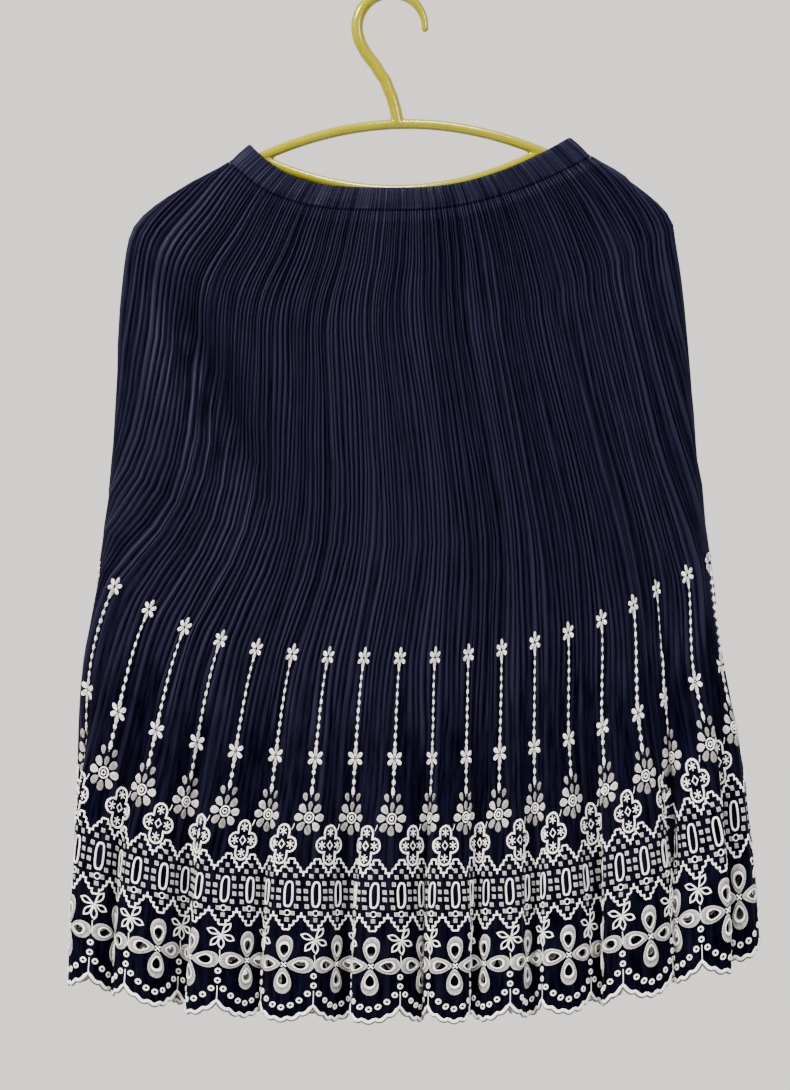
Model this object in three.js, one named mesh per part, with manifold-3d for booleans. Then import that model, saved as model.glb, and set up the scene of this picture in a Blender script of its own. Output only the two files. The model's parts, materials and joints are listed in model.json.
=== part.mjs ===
// A knee-length skirt of finely pleated navy cloth with a white embroidered, scalloped border,
// hung on a plastic clothes hanger. Millimetres, +Z up, the front of the skirt faces -Y.
// The origin is the top of the inside of the hanger's hook, where the hanger hangs on a rail.
import * as THREE from "three";
import * as BufferGeometryUtils from "three/addons/utils/BufferGeometryUtils.js";
import Module from "manifold-3d";

const wasm = await Module();
wasm.setup();

// Driving dimensions
const COLUMNS = 40; // repeats of the embroidery round the hem
const PANEL_COLUMNS = COLUMNS / 2; // the skirt is a front and a back, sewn at the sides
const SIDE_SEAM = -0.5; // the left side seam, in columns: it runs between two repeats
const PLEATS_PER_PANEL = 90;
const REPEAT = 45; // width of one repeat of the flat border
const CLOTH = 1; // thickness of the wall that stands for the cloth
const SEAM_GAP = 0.3; // pieces lie this far apart where they are sewn together
const HEM_DROP = 648.7; // from the waist seam down to the lowest point of a scallop
const SCALLOP = 10; // height of a scallop
const PLEAT_DEPTH = 2.2; // from the valley of a pleat to its crest
const PLEATS_END = 420; // the pleats open out and are gone this far below the waist seam
const FLUTES_START = 330; // the soft flutes of the border begin here
const FLUTE_HEIGHT = 12; // half the way from the valley of a flute to its crest, at the hem
const FLUTE_CREST = 0.75; // a crest stands this share of that height outside the mean line
const FLUTE_FLATNESS = 2; // 1 makes even waves, more makes broad flat crests and narrow valleys
const FLUTE_PINCH = 0.5; // how far a flute's sides close over its valleys: 1 is all the way
const BAND_HEIGHT = 20.4;
const BAND_THICKNESS = 2.6; // two layers of cloth with the elastic between them
const BAND_RIBS = 90;

// The skirt's cross-sections, from the waistband's top edge to the hem. drop is the length of
// cloth below the waist seam. The edges are where the cloth turns to the back, with the column
// of embroidery that stands there. foldX is where column 16 stands, beside the long side fold.
const SECTION_NAMES = [
  "drop", "leftX", "leftZ", "rightX", "rightZ", "middleZ", "foldX", "leftColumn", "rightColumn",
  "halfDepth", "leftPower", "rightPower",
];
const SECTION_ROWS = [
  [-20.7, -111, -116.1, 140.3, -110.5, -150.3, 89.4, -1.2, 20.3, 13, 4.2, 2],
  [0, -128.4, -130.4, 157.8, -126.4, -169.3, 100.6, -1.2, 20.3, 14, 3.9, 1.9],
  [39.8, -163.9, -150.3, 192, -147.1, -209.1, 113.3, -1.9, 20.8, 16, 3.4, 2],
  [79.5, -198.3, -176.5, 220.9, -173.8, -248.8, 124.4, -2.3, 21.2, 18, 3, 2.1],
  [103.4, -207.6, -197.2, 225.4, -197.2, -272.7, 131.6, -2.4, 21.4, 20, 3, 2.2],
  [159, -212.7, -255.2, 232.2, -252.8, -328.3, 147.5, -2.4, 21.4, 25, 3, 2.2],
  [254.4, -219, -352.2, 239.7, -347.8, -423.7, 174.5, -1.7, 20.8, 32, 3, 2.2],
  [353, -230.9, -454.7, 248.1, -446, -521.5, 196.8, 0.1, 19.8, 39, 3, 2.2],
  [429.3, -243.7, -539.8, 259.2, -521.5, -596, 211.1, 0.7, 20, 42, 3.3, 2.4],
  [508.8, -245.5, -631.2, 272.8, -603.4, -673.5, 215.8, 1.2, 20.2, 44, 3.3, 2.4],
  [588.3, -247, -718.7, 281.5, -692.4, -750.5, 217.4, 1.4, 20.3, 45, 3.2, 2.4],
  [648.7, -248, -782.3, 285.5, -758.4, -809.5, 218.2, 1.5, 20.4, 46, 3, 2.4],
];
const FOLD_COLUMN = 16;
const SECTION_SQUARENESS = 4; // of the cross-section's corners: 2 is an ellipse
const BACK_HEM_DROP = 4; // the back hangs this much lower at the hem

// The crests of the border's flutes: the column each stands at, its share of FLUTE_HEIGHT, and
// how far it leans over to its right (above 0) or left, as a share of its height
const FLUTE_NAMES = ["column", "share", "lean"];
const FLUTE_ROWS = [
  [0.8, 0.8, 0.2], [2.1, 0.9, -0.3], [3.6, 0.9, 0.3], [5.4, 1, -0.7], [7.2, 1, 0.1],
  [9.4, 1.2, -0.7], [10.9, 1, 0.2], [12.1, 0.8, 0.4], [13.5, 0.9, -0.3], [15, 1, -0.5],
  [17.6, 1.2, 0.5], [19.4, 0.9, -0.2], [20.9, 0.8, 0.3], [22.6, 1, -0.5], [24.1, 0.9, 0.3],
  [25.9, 1.1, -0.6], [27.5, 0.9, 0.2], [29.2, 1, 0.5], [30.8, 1.1, -0.3], [32.4, 0.9, 0.4],
  [34, 1, -0.5], [35.7, 1.1, 0.6], [37.2, 0.9, -0.2], [39.2, 0.8, 0.3],
];

// Single folds and hollows: the column and drop they are centred on, how far they reach either
// way, and how deep they are (a crest is above 0)
const DRAPE_NAMES = ["column", "drop", "columnReach", "dropReach", "depth"];
const DRAPE_ROWS = [
  [0.2, 118, 1.1, 35, -6], // the hollow that runs down from under the left shoulder
  [1.4, 152, 1, 35, -9],
  [2.3, 182, 0.9, 35, -9],
  [3.2, 214, 0.9, 40, -8],
  [4, 250, 0.9, 45, -5],
  [-1.2, 150, 1.4, 80, 1.5],
  [5, 200, 1.4, 90, 4],
  [16.7, 330, 0.8, 190, -17], // the long side fold, down to the border
  [18.6, 300, 1, 200, 6],
  [18, 75, 0.9, 40, -4],
  [22.5, 180, 1.5, 90, 1.5], // the back, with a shallow drape under each shoulder
  [24.5, 220, 1.6, 100, -6],
  [35.5, 210, 1.6, 110, -6],
];

// The hanger
const ROD = 4.2; // radius of its arms
const HOOK_ROD = 4.8;
const HANGER_MIDDLE = 7.6; // x of the neck's foot
const ARM_TOP = -99.5; // height of the arms' middle line at the neck
const ARM_CURVE = 0.001947; // the arms fall by this times the square of the distance
const ARM_TILT = 0.0215; // the hanger hangs a little askew, its right arm higher
const LEFT_ARM = 195;
const RIGHT_ARM = 203;
const CROSSBAR_REACH = 112; // the lower bar meets the arms this far from the middle
const CROSSBAR_DEPTH = -151.3; // height of the lower bar's middle line at its lowest
const CROSSBAR_ROD = 3.6;
const HOOK_RADIUS = 27; // of the hook's middle line
const HOOK_SIDES = 10;

const named = (names, rows) =>
  rows.map((row) => Object.fromEntries(names.map((name, i) => [name, row[i]])));
const sections = named(SECTION_NAMES, SECTION_ROWS);
const flutes = named(FLUTE_NAMES, FLUTE_ROWS);
const drapes = named(DRAPE_NAMES, DRAPE_ROWS);
const smooth = (t) => {
  const s = Math.min(1, Math.max(0, t));
  return s * s * (3 - 2 * s);
};

// One named value of the section at a drop, on a smooth curve through the table
function sectionValue(name, drop) {
  const last = sections.length - 2;
  let i = sections.findIndex((s) => s.drop > drop) - 1;
  if (i < -1) i = last;
  i = Math.min(last, Math.max(0, i));
  const slope = (k) => {
    const a = sections[Math.max(0, k - 1)];
    const b = sections[Math.min(sections.length - 1, k + 1)];
    return (b[name] - a[name]) / (b.drop - a.drop);
  };
  const [from, to] = [sections[i], sections[i + 1]];
  const span = to.drop - from.drop;
  const t = (drop - from.drop) / span;
  if (t < 0 || t > 1) return t < 0 ? from[name] + slope(i) * (drop - from.drop)
    : to[name] + slope(i + 1) * (drop - to.drop);
  const [t2, t3] = [t * t, t * t * t];
  return (2 * t3 - 3 * t2 + 1) * from[name] + (t3 - 2 * t2 + t) * span * slope(i)
    + (3 * t2 - 2 * t3) * to[name] + (t3 - t2) * span * slope(i + 1);
}

// Where a column stands between two crests: the phase of the flutes, their share of height, their
// lean and their width in columns
function fluteAt(column) {
  const c = ((column % COLUMNS) + COLUMNS) % COLUMNS;
  const n = flutes.length;
  let i = flutes.findIndex((f) => f.column > c);
  if (i < 0) i = n;
  const before = flutes[(i + n - 1) % n];
  const after = flutes[i % n];
  const start = before.column - (i === 0 ? COLUMNS : 0);
  const end = after.column + (i === n ? COLUMNS : 0);
  const t = (c - start) / (end - start);
  const between = (name) => before[name] + (after[name] - before[name]) * smooth(t);
  return {
    phase: 2 * Math.PI * t, share: between("share"), lean: between("lean"), columns: end - start,
  };
}

// How far the cloth's large folds stand out at a column and drop
function drapeAt(column, drop) {
  return drapes.reduce((sum, d) => {
    const across = ((column - d.column + 1.5 * COLUMNS) % COLUMNS) - COLUMNS / 2;
    return sum + d.depth * Math.exp(-((across / d.columnReach) ** 2) - ((drop - d.drop) / d.dropReach) ** 2);
  }, 0);
}

// The closed curve of the cloth's middle line at one drop: a list of points, evenly many to a
// column, each with the column that stands there once the cloth's length is shared out evenly
const RING_STEP = 1 / 16;
const OUTLINE_STEPS = 400;
function makeRing(drop) {
  const value = Object.fromEntries(SECTION_NAMES.map((name) => [name, sectionValue(name, drop)]));
  const middleX = (value.leftX + value.rightX) / 2;
  const halfWidth = (value.rightX - value.leftX) / 2;
  const corner = 2 / SECTION_SQUARENESS;
  const rise = smooth((drop - FLUTES_START) / (HEM_DROP - FLUTES_START));
  // One half of the outline, left to right on the front or right to left on the back
  const half = (side) => {
    const points = [];
    let length = 0;
    for (let i = 0; i <= OUTLINE_STEPS; i++) {
      const angle = (Math.PI * i) / OUTLINE_STEPS;
      const across = -side * Math.sign(Math.cos(angle)) * Math.abs(Math.cos(angle)) ** corner;
      const edge = across < 0 ? "left" : "right";
      const lift = Math.abs(across) ** value[edge + "Power"];
      const lower = side < 0 ? BACK_HEM_DROP * rise : 0;
      const middleZ = value.middleZ - lower;
      const point = {
        x: middleX + halfWidth * across,
        y: -side * value.halfDepth * Math.sin(angle) ** corner,
        z: middleZ + (value[edge + "Z"] - middleZ) * lift,
      };
      if (i) length += Math.hypot(point.x - points[i - 1].x, point.y - points[i - 1].y);
      points.push({ ...point, length });
    }
    return points;
  };
  const front = half(1);
  const back = half(-1);
  const alongLength = (points, share) => {
    const length = share * points.at(-1).length;
    const i = Math.max(1, points.findIndex((p) => p.length >= length));
    const [a, b] = [points[i - 1], points[i]];
    const t = (length - a.length) / (b.length - a.length || 1);
    return { x: a.x + (b.x - a.x) * t, y: a.y + (b.y - a.y) * t, z: a.z + (b.z - a.z) * t };
  };
  const foldShare = front.find((p) => p.x >= value.foldX).length / front.at(-1).length;
  const outlineLength = front.at(-1).length + back.at(-1).length;
  const frontColumns = value.rightColumn - value.leftColumn;
  const foldColumns = FOLD_COLUMN - value.leftColumn;
  const base = (column) => {
    const c = (((column - value.leftColumn) % COLUMNS) + COLUMNS) % COLUMNS;
    if (c > frontColumns) return alongLength(back, (c - frontColumns) / (COLUMNS - frontColumns));
    if (c < foldColumns) return alongLength(front, (foldShare * c) / foldColumns);
    return alongLength(
      front, foldShare + ((1 - foldShare) * (c - foldColumns)) / (frontColumns - foldColumns));
  };
  const count = COLUMNS / RING_STEP;
  const points = [];
  for (let i = 0; i < count; i++) {
    const column = i * RING_STEP;
    const [p, ahead, behind] = [column, column + 0.1, column - 0.1].map(base);
    const along = new THREE.Vector2(ahead.x - behind.x, ahead.y - behind.y).normalize();
    const flute = fluteAt(column);
    const valley = ((1 - Math.cos(flute.phase)) / 2) ** FLUTE_FLATNESS;
    const wave = rise * flute.share * FLUTE_HEIGHT * (FLUTE_CREST - 2 * valley);
    const out = wave + drapeAt(column, drop);
    const width = (flute.columns * outlineLength) / COLUMNS;
    const pinch = (rise * flute.share * FLUTE_PINCH * width) / (2 * Math.PI);
    const aside = pinch * Math.sin(flute.phase) + flute.lean * wave;
    points.push({
      x: p.x + along.y * out + along.x * aside, y: p.y - along.x * out + along.y * aside, z: p.z,
    });
  }
  // Share the cloth's length out evenly, but keep each quarter of the ring where it stands
  const lengths = [0];
  for (let i = 1; i <= count; i++) {
    const [a, b] = [points[i - 1], points[i % count]];
    lengths.push(lengths[i - 1] + Math.hypot(b.x - a.x, b.y - a.y));
  }
  const anchors = [0, 0.25, 0.5, 0.75, 1].map((share) => share * count);
  const columns = lengths.map((length, i) => {
    const k = Math.max(1, anchors.findIndex((a) => a >= i));
    const [from, to] = [anchors[k - 1], anchors[k]];
    const share = (length - lengths[from]) / (lengths[to] - lengths[from]);
    return (from + share * (to - from)) * RING_STEP;
  });
  return { points, columns, length: lengths.at(-1) };
}

const rings = new Map();
function ringAt(drop) {
  const key = Math.round(drop * 20);
  if (!rings.has(key)) rings.set(key, makeRing(drop));
  return rings.get(key);
}

// The cloth's middle line at a column and drop
function clothPoint(column, drop) {
  const { points, columns } = ringAt(drop);
  const c = ((column % COLUMNS) + COLUMNS) % COLUMNS;
  let [low, high] = [0, columns.length - 1];
  while (high - low > 1) {
    const middle = (low + high) >> 1;
    if (columns[middle] <= c) low = middle;
    else high = middle;
  }
  const t = (c - columns[low]) / (columns[high] - columns[low]);
  const [a, b] = [points[low], points[high % points.length]];
  return new THREE.Vector3(a.x + (b.x - a.x) * t, a.y + (b.y - a.y) * t, a.z + (b.z - a.z) * t);
}

// A point that stands out from the cloth's middle line by a distance, at right angles to it
function offsetPoint(column, drop, out) {
  const across = clothPoint(column + 0.06, drop).sub(clothPoint(column - 0.06, drop));
  const down = clothPoint(column, drop + 2).sub(clothPoint(column, drop - 2));
  const normal = down.cross(across).normalize();
  return clothPoint(column, drop).addScaledVector(normal, out);
}

// How far below the waist seam the scalloped hem runs at a column
const hemDrop = (column) => HEM_DROP - SCALLOP * (2 * Math.abs(column - Math.round(column))) ** 2;

// A wall between an outer and an inner net of points. Each net is a list of rows from top to
// bottom, each row a list of { column, drop, out }. Rows may hold different numbers of points.
// open names the cells left out for eyelets, as "row,cell".
function wall(outer, inner, open = new Set(), closed = false) {
  const positions = [];
  const triangles = [];
  const place = (net) => net.map((row) => row.map((p) => {
    positions.push(...offsetPoint(p.column, p.drop, p.out).toArray());
    return { column: p.column, index: positions.length / 3 - 1 };
  }));
  const [outside, inside] = [place(outer), place(inner)];
  const face = (a, b, c) => triangles.push(a.index, b.index, c.index);
  // Fills the band between two rows, the upper one first as seen from outside
  const band = (upper, lower, flip, skip = () => false) => {
    const loop = (row) => (closed ? [...row, { ...row[0], column: row[0].column + COLUMNS }] : row);
    const [top, bottom] = [loop(upper), loop(lower)];
    let [i, j] = [0, 0];
    while (i < top.length - 1 || j < bottom.length - 1) {
      const even = top.length === bottom.length;
      if (even && i === j && skip(i)) {
        i += 1;
        j += 1;
        continue;
      }
      const moveTop = even ? i <= j : j === bottom.length - 1
        || (i < top.length - 1 && top[i + 1].column <= bottom[j + 1].column);
      const [a, b] = [top[i], bottom[j]];
      const next = moveTop ? top[++i] : bottom[++j];
      if (flip) face(a, next, b);
      else face(a, b, next);
    }
  };
  for (let r = 0; r < outside.length - 1; r++) {
    const skip = (cell) => open.has(r + "," + cell);
    band(outside[r], outside[r + 1], false, skip);
    band(inside[r], inside[r + 1], true, skip);
  }
  band(outside[0], inside[0], true);
  band(outside.at(-1), inside.at(-1), false);
  const quad = (a, b, c, d) => {
    face(a, b, c);
    face(a, c, d);
  };
  if (!closed) {
    for (let r = 0; r < outside.length - 1; r++) {
      quad(outside[r][0], inside[r][0], inside[r + 1][0], outside[r + 1][0]);
      const [o, p] = [outside[r].at(-1), outside[r + 1].at(-1)];
      const [i, j] = [inside[r].at(-1), inside[r + 1].at(-1)];
      quad(o, p, j, i);
    }
  }
  for (const key of open) {
    const [r, c] = key.split(",").map(Number);
    const corner = (net, down, on) => net[r + down][c + on];
    const around = [[0, 0], [0, 1], [1, 1], [1, 0]];
    around.forEach(([down, on], k) => {
      const [down2, on2] = around[(k + 1) % 4];
      quad(
        corner(outside, down2, on2), corner(outside, down, on),
        corner(inside, down, on), corner(inside, down2, on2));
    });
  }
  const geometry = new THREE.BufferGeometry();
  geometry.setAttribute("position", new THREE.Float32BufferAttribute(positions, 3));
  geometry.setIndex(triangles);
  return geometry;
}

// The large eyelet flower of each repeat: four petals, each with a cut hole. The holes' corners
// lie on the net: columns and drops from the flower's middle, in millimetres.
const FLOWER_DROP = HEM_DROP - 46;
const SIDE_HOLE = { near: 7.4, far: 16, nearHalf: 1.9, farHalf: 3 };
const TALL_HOLE = { near: 7.4, far: 17, nearHalf: 1.8, farHalf: 3 };
const MID_WIDTH = 3.3;

// The rows of points of one panel. The wall's outside carries the pleats, its inside is plain.
function panel(first) {
  const last = first + PANEL_COLUMNS;
  const seamGap = (drop) => (SEAM_GAP / 2) * (COLUMNS / ringAt(drop).length);
  const within = (column, drop) =>
    Math.min(last - seamGap(drop), Math.max(first + seamGap(drop), column));
  const pleated = (drop, points, out) => {
    const row = [];
    for (let i = 0; i <= points; i++) {
      const column = within(first + (PANEL_COLUMNS * i) / points, drop);
      row.push({ column, drop, out: out(i) });
    }
    return row;
  };
  const outer = [];
  const inner = [];
  for (const drop of [SEAM_GAP / 2, 42, 84, 114, 174, 244, 353]) {
    const depth = PLEAT_DEPTH * (1 - smooth((drop - 300) / (PLEATS_END - 300)));
    outer.push(pleated(drop, 2 * PLEATS_PER_PANEL, (i) => (i % 2 ? depth / 2 : -depth / 2)));
    inner.push(pleated(drop, PLEATS_PER_PANEL, () => -depth / 2 - CLOTH));
  }
  // Below the pleats, six columns of points to a repeat, three either side of its middle
  const across = (tall, side) => [-side.far, -side.near, -tall, tall, side.near, side.far];
  const border = (drops, tall) => {
    const points = [];
    const add = (column, drop) => points.push({ column: within(column, drop), drop });
    add(first, drops(first, 5));
    for (let k = Math.ceil(first); k < last; k++)
      across(tall, SIDE_HOLE).forEach((mm, i) => add(k + mm / REPEAT, drops(k + mm / REPEAT, i)));
    add(last, drops(last, 0));
    outer.push(points.map((p) => ({ ...p, out: CLOTH / 2 })));
    inner.push(points.map((p) => ({ ...p, out: -CLOTH / 2 })));
  };
  const sideHalf = [SIDE_HOLE.farHalf, SIDE_HOLE.nearHalf, TALL_HOLE.near];
  const half = (i) => sideHalf[Math.min(i, 5 - i)];
  border(() => 425, MID_WIDTH);
  border(() => 505, MID_WIDTH);
  border(() => FLOWER_DROP - TALL_HOLE.far, TALL_HOLE.farHalf);
  border((column, i) => FLOWER_DROP - half(i), TALL_HOLE.nearHalf);
  border((column, i) => FLOWER_DROP + half(i), TALL_HOLE.nearHalf);
  border(() => FLOWER_DROP + TALL_HOLE.far, TALL_HOLE.farHalf);
  border((column) => hemDrop(column), MID_WIDTH);
  const top = outer.length - 5;
  const open = new Set();
  for (let k = 0; k < PANEL_COLUMNS; k++) {
    const cell = 6 * k + 1;
    open.add(top + "," + (cell + 2)).add(top + 2 + "," + (cell + 2));
    open.add(top + 1 + "," + cell).add(top + 1 + "," + (cell + 4));
  }
  return wall(outer, inner, open);
}

// The waistband: a casing folded over the elastic, gathered into small ribs
function waistband() {
  const row = (drop, points, out) => {
    const made = [];
    for (let i = 0; i < points; i++)
      made.push({ column: (COLUMNS * i) / points, drop, out: out(i) });
    return made;
  };
  const rib = (height) => (i) => height + (i % 2 ? 0.4 : -0.4);
  const [low, high] = [-SEAM_GAP / 2, -BAND_HEIGHT];
  const outer = [row(high, 2 * BAND_RIBS, rib(0.4)), row(low, 2 * BAND_RIBS, rib(0.7))];
  const inner = [high, low].map((drop) => row(drop, BAND_RIBS, () => 0.7 - BAND_THICKNESS));
  return wall(outer, inner, new Set(), true);
}

// A closed mesh as a solid that others can be joined to
function solid(geometry) {
  const bare = geometry.index ? geometry.toNonIndexed() : geometry.clone();
  bare.deleteAttribute("normal");
  bare.deleteAttribute("uv");
  const merged = BufferGeometryUtils.mergeVertices(bare, 1e-3);
  return new wasm.Manifold(new wasm.Mesh({
    numProp: 3, vertProperties: merged.attributes.position.array, triVerts: merged.index.array,
  }));
}

// A round rod along a curve, with a ball at each end
function rod(path, radius, steps) {
  const section = new THREE.Shape();
  for (let i = 0; i < HOOK_SIDES; i++) {
    const angle = (2 * Math.PI * i) / HOOK_SIDES;
    section[i ? "lineTo" : "moveTo"](radius * Math.cos(angle), radius * Math.sin(angle));
  }
  const bar = solid(new THREE.ExtrudeGeometry(section, { steps, extrudePath: path }));
  const balls = [0, 1].map((end) => {
    const at = path.getPoint(end);
    return solid(new THREE.IcosahedronGeometry(radius, 1).translate(at.x, at.y, at.z));
  });
  return balls.reduce((sum, ball) => sum.add(ball), bar);
}

const armHeight = (x) => ARM_TOP - ARM_CURVE * x * x + ARM_TILT * x;

function hanger() {
  const along = (from, to, steps, height) => {
    const points = [];
    for (let i = 0; i <= steps; i++) {
      const x = from + ((to - from) * i) / steps;
      points.push(new THREE.Vector3(HANGER_MIDDLE + x, 0, height(x)));
    }
    return new THREE.CatmullRomCurve3(points);
  };
  const arms = rod(along(-LEFT_ARM, RIGHT_ARM, 16, armHeight), ROD, 18);
  const smile = (ARM_TOP - ARM_CURVE * CROSSBAR_REACH ** 2 - CROSSBAR_DEPTH) / CROSSBAR_REACH ** 2;
  const crossbarHeight = (x) => CROSSBAR_DEPTH + smile * x * x + ARM_TILT * x;
  const crossbar = rod(
    along(-CROSSBAR_REACH, CROSSBAR_REACH, 10, crossbarHeight), CROSSBAR_ROD, 12);
  // The hook: up from the neck in a soft S, then over from the left to the right
  const hookMiddle = -HOOK_RADIUS + HOOK_ROD;
  const neck = [[3.6, -93], [0.6, -77], [-4, -64.5], [-12.5, -51.5], [-21.5, -40]];
  const points = neck.map(([x, z]) => new THREE.Vector3(x, 0, z));
  for (let degrees = 190; degrees >= -8; degrees -= 22) {
    const angle = THREE.MathUtils.degToRad(degrees);
    points.push(new THREE.Vector3(
      HOOK_RADIUS * Math.cos(angle), 0, hookMiddle + HOOK_RADIUS * Math.sin(angle)));
  }
  const hook = rod(new THREE.CatmullRomCurve3(points), HOOK_ROD, 26);
  const made = arms.add(crossbar).add(hook).getMesh();
  const geometry = new THREE.BufferGeometry();
  const positions = [];
  for (let i = 0; i < made.numVert; i++)
    positions.push(...made.vertProperties.slice(i * made.numProp, i * made.numProp + 3));
  geometry.setAttribute("position", new THREE.Float32BufferAttribute(positions, 3));
  geometry.setIndex([...made.triVerts]);
  return geometry;
}

const navyCloth = new THREE.MeshStandardMaterial({ color: 0x1d1d30, roughness: 0.75, metalness: 0 });
const yellowPlastic = new THREE.MeshStandardMaterial({ color: 0xd9c81a, roughness: 0.3, metalness: 0 });

const skirt = new THREE.Group();
function add(name, geometry, material) {
  geometry.computeVertexNormals();
  const mesh = new THREE.Mesh(geometry, material);
  mesh.name = name;
  skirt.add(mesh);
}
add("front_panel", panel(SIDE_SEAM), navyCloth);
add("back_panel", panel(SIDE_SEAM + PANEL_COLUMNS), navyCloth);
add("waistband", waistband(), navyCloth);
add("hanger", hanger(), yellowPlastic);

export default skirt;
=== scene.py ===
# %% [markdown]
# # A pleated skirt with an embroidered border, on a hanger
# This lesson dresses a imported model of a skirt: fine pressed pleats, a white embroidered border
# with cut eyelets, a gathered waistband and a glossy plastic hanger. The skirt's front faces -Y
# and the origin is where the hanger's hook rests on a rail.

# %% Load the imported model
import json
import math

import bpy
import numpy as np
from mathutils import Matrix, Vector

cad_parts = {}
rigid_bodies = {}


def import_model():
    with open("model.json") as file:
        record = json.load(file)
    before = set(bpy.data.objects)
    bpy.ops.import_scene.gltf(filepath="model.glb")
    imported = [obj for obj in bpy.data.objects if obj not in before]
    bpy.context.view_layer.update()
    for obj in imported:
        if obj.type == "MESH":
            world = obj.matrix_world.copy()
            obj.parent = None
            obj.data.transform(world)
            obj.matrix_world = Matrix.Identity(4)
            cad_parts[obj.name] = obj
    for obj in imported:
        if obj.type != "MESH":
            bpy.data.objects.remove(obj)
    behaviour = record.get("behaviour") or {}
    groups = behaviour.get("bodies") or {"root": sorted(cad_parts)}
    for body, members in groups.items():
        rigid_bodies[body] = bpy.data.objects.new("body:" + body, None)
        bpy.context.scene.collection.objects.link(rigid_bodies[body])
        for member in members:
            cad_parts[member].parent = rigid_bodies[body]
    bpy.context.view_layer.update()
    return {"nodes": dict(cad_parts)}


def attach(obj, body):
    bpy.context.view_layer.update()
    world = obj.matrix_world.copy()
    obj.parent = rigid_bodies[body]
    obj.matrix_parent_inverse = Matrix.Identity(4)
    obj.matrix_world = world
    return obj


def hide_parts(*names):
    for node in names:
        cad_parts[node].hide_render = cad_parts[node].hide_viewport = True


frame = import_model()
print("nodes:", sorted(frame["nodes"]))

# %% [markdown]
# ## The cloth's large shape
# A hanging skirt is a tube. Its shape is easiest to hold as a stack of cross-sections, each one
# a flattened ring, with a table that says how wide it is and how high its sides stand. The same
# table shaped the solids, so what is made here lies exactly where they are. All lengths are in
# millimetres until a mesh is made.

# %% The table of cross-sections
COLUMNS = 40  # repeats of the embroidery round the hem
PANEL_COLUMNS = 20  # half of them are on each panel
SIDE_SEAM = -0.5  # the column where the front panel starts
REPEAT = 45.0  # width of one repeat
HEM_DROP = 648.7  # from the waist seam down to the hem's lowest line
SCALLOP = 10.0  # height of a scallop
FLUTES_START = 330.0  # drop where the flutes begin
FLUTE_HEIGHT = 12.0
FLUTE_CREST = 0.75  # how far a crest stands out, as a share of the height
FLUTE_FLATNESS = 2  # a higher power gives broader crests
FLUTE_PINCH = 0.5  # how far a flute's flanks draw together
BACK_HEM_DROP = 4.0  # the back's hem hangs this much lower
FOLD_COLUMN = 16  # the long fold on the right; the table says where it lies
OUTLINE_CORNER = 0.5  # an ellipse would have 1 here, and a lower power is boxier
OUTLINE_POINTS = 401

# drop, left x and z, right x and z, middle z, x of column 16, left and right column,
# half depth, left and right power
SECTIONS = np.array([
    [-20.7, -111, -116.1, 140.3, -110.5, -150.3, 89.4, -1.2, 20.3, 13, 4.2, 2],
    [0, -128.4, -130.4, 157.8, -126.4, -169.3, 100.6, -1.2, 20.3, 14, 3.9, 1.9],
    [39.8, -163.9, -150.3, 192, -147.1, -209.1, 113.3, -1.9, 20.8, 16, 3.4, 2],
    [79.5, -198.3, -176.5, 220.9, -173.8, -248.8, 124.4, -2.3, 21.2, 18, 3, 2.1],
    [103.4, -207.6, -197.2, 225.4, -197.2, -272.7, 131.6, -2.4, 21.4, 20, 3, 2.2],
    [159, -212.7, -255.2, 232.2, -252.8, -328.3, 147.5, -2.4, 21.4, 25, 3, 2.2],
    [254.4, -219, -352.2, 239.7, -347.8, -423.7, 174.5, -1.7, 20.8, 32, 3, 2.2],
    [353, -230.9, -454.7, 248.1, -446, -521.5, 196.8, 0.1, 19.8, 39, 3, 2.2],
    [429.3, -243.7, -539.8, 259.2, -521.5, -596, 211.1, 0.7, 20, 42, 3.3, 2.4],
    [508.8, -245.5, -631.2, 272.8, -603.4, -673.5, 215.8, 1.2, 20.2, 44, 3.3, 2.4],
    [588.3, -247, -718.7, 281.5, -692.4, -750.5, 217.4, 1.4, 20.3, 45, 3.2, 2.4],
    [648.7, -248, -782.3, 285.5, -758.4, -809.5, 218.2, 1.5, 20.4, 46, 3, 2.4],
])
# The crests of the border's flutes: column, share of the full height, lean to the right
FLUTES = np.array([
    [0.8, 0.8, 0.2], [2.1, 0.9, -0.3], [3.6, 0.9, 0.3], [5.4, 1, -0.7], [7.2, 1, 0.1],
    [9.4, 1.2, -0.7], [10.9, 1, 0.2], [12.1, 0.8, 0.4], [13.5, 0.9, -0.3], [15, 1, -0.5],
    [17.6, 1.2, 0.5], [19.4, 0.9, -0.2], [20.9, 0.8, 0.3], [22.6, 1, -0.5], [24.1, 0.9, 0.3],
    [25.9, 1.1, -0.6], [27.5, 0.9, 0.2], [29.2, 1, 0.5], [30.8, 1.1, -0.3], [32.4, 0.9, 0.4],
    [34, 1, -0.5], [35.7, 1.1, 0.6], [37.2, 0.9, -0.2], [39.2, 0.8, 0.3],
])
# Single folds: column, drop, reach in columns, reach in drop, depth
FOLDS = np.array([
    [0.2, 118, 1.1, 35, -6],
    [1.4, 152, 1, 35, -9],
    [2.3, 182, 0.9, 35, -9],
    [3.2, 214, 0.9, 40, -8],
    [4, 250, 0.9, 45, -5],
    [-1.2, 150, 1.4, 80, 1.5],
    [5, 200, 1.4, 90, 4],
    [16.7, 330, 0.8, 190, -17],
    [18.6, 300, 1, 200, 6],
    [18, 75, 0.9, 40, -4],
    [22.5, 180, 1.5, 90, 1.5],
    [24.5, 220, 1.6, 100, -6],
    [35.5, 210, 1.6, 110, -6],
])
print("cross-sections:", len(SECTIONS), "flutes:", len(FLUTES), "folds:", len(FOLDS))


# %% One cross-section at any height
def soft_step(t):
    t = np.clip(t, 0.0, 1.0)
    return t * t * (3 - 2 * t)


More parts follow.
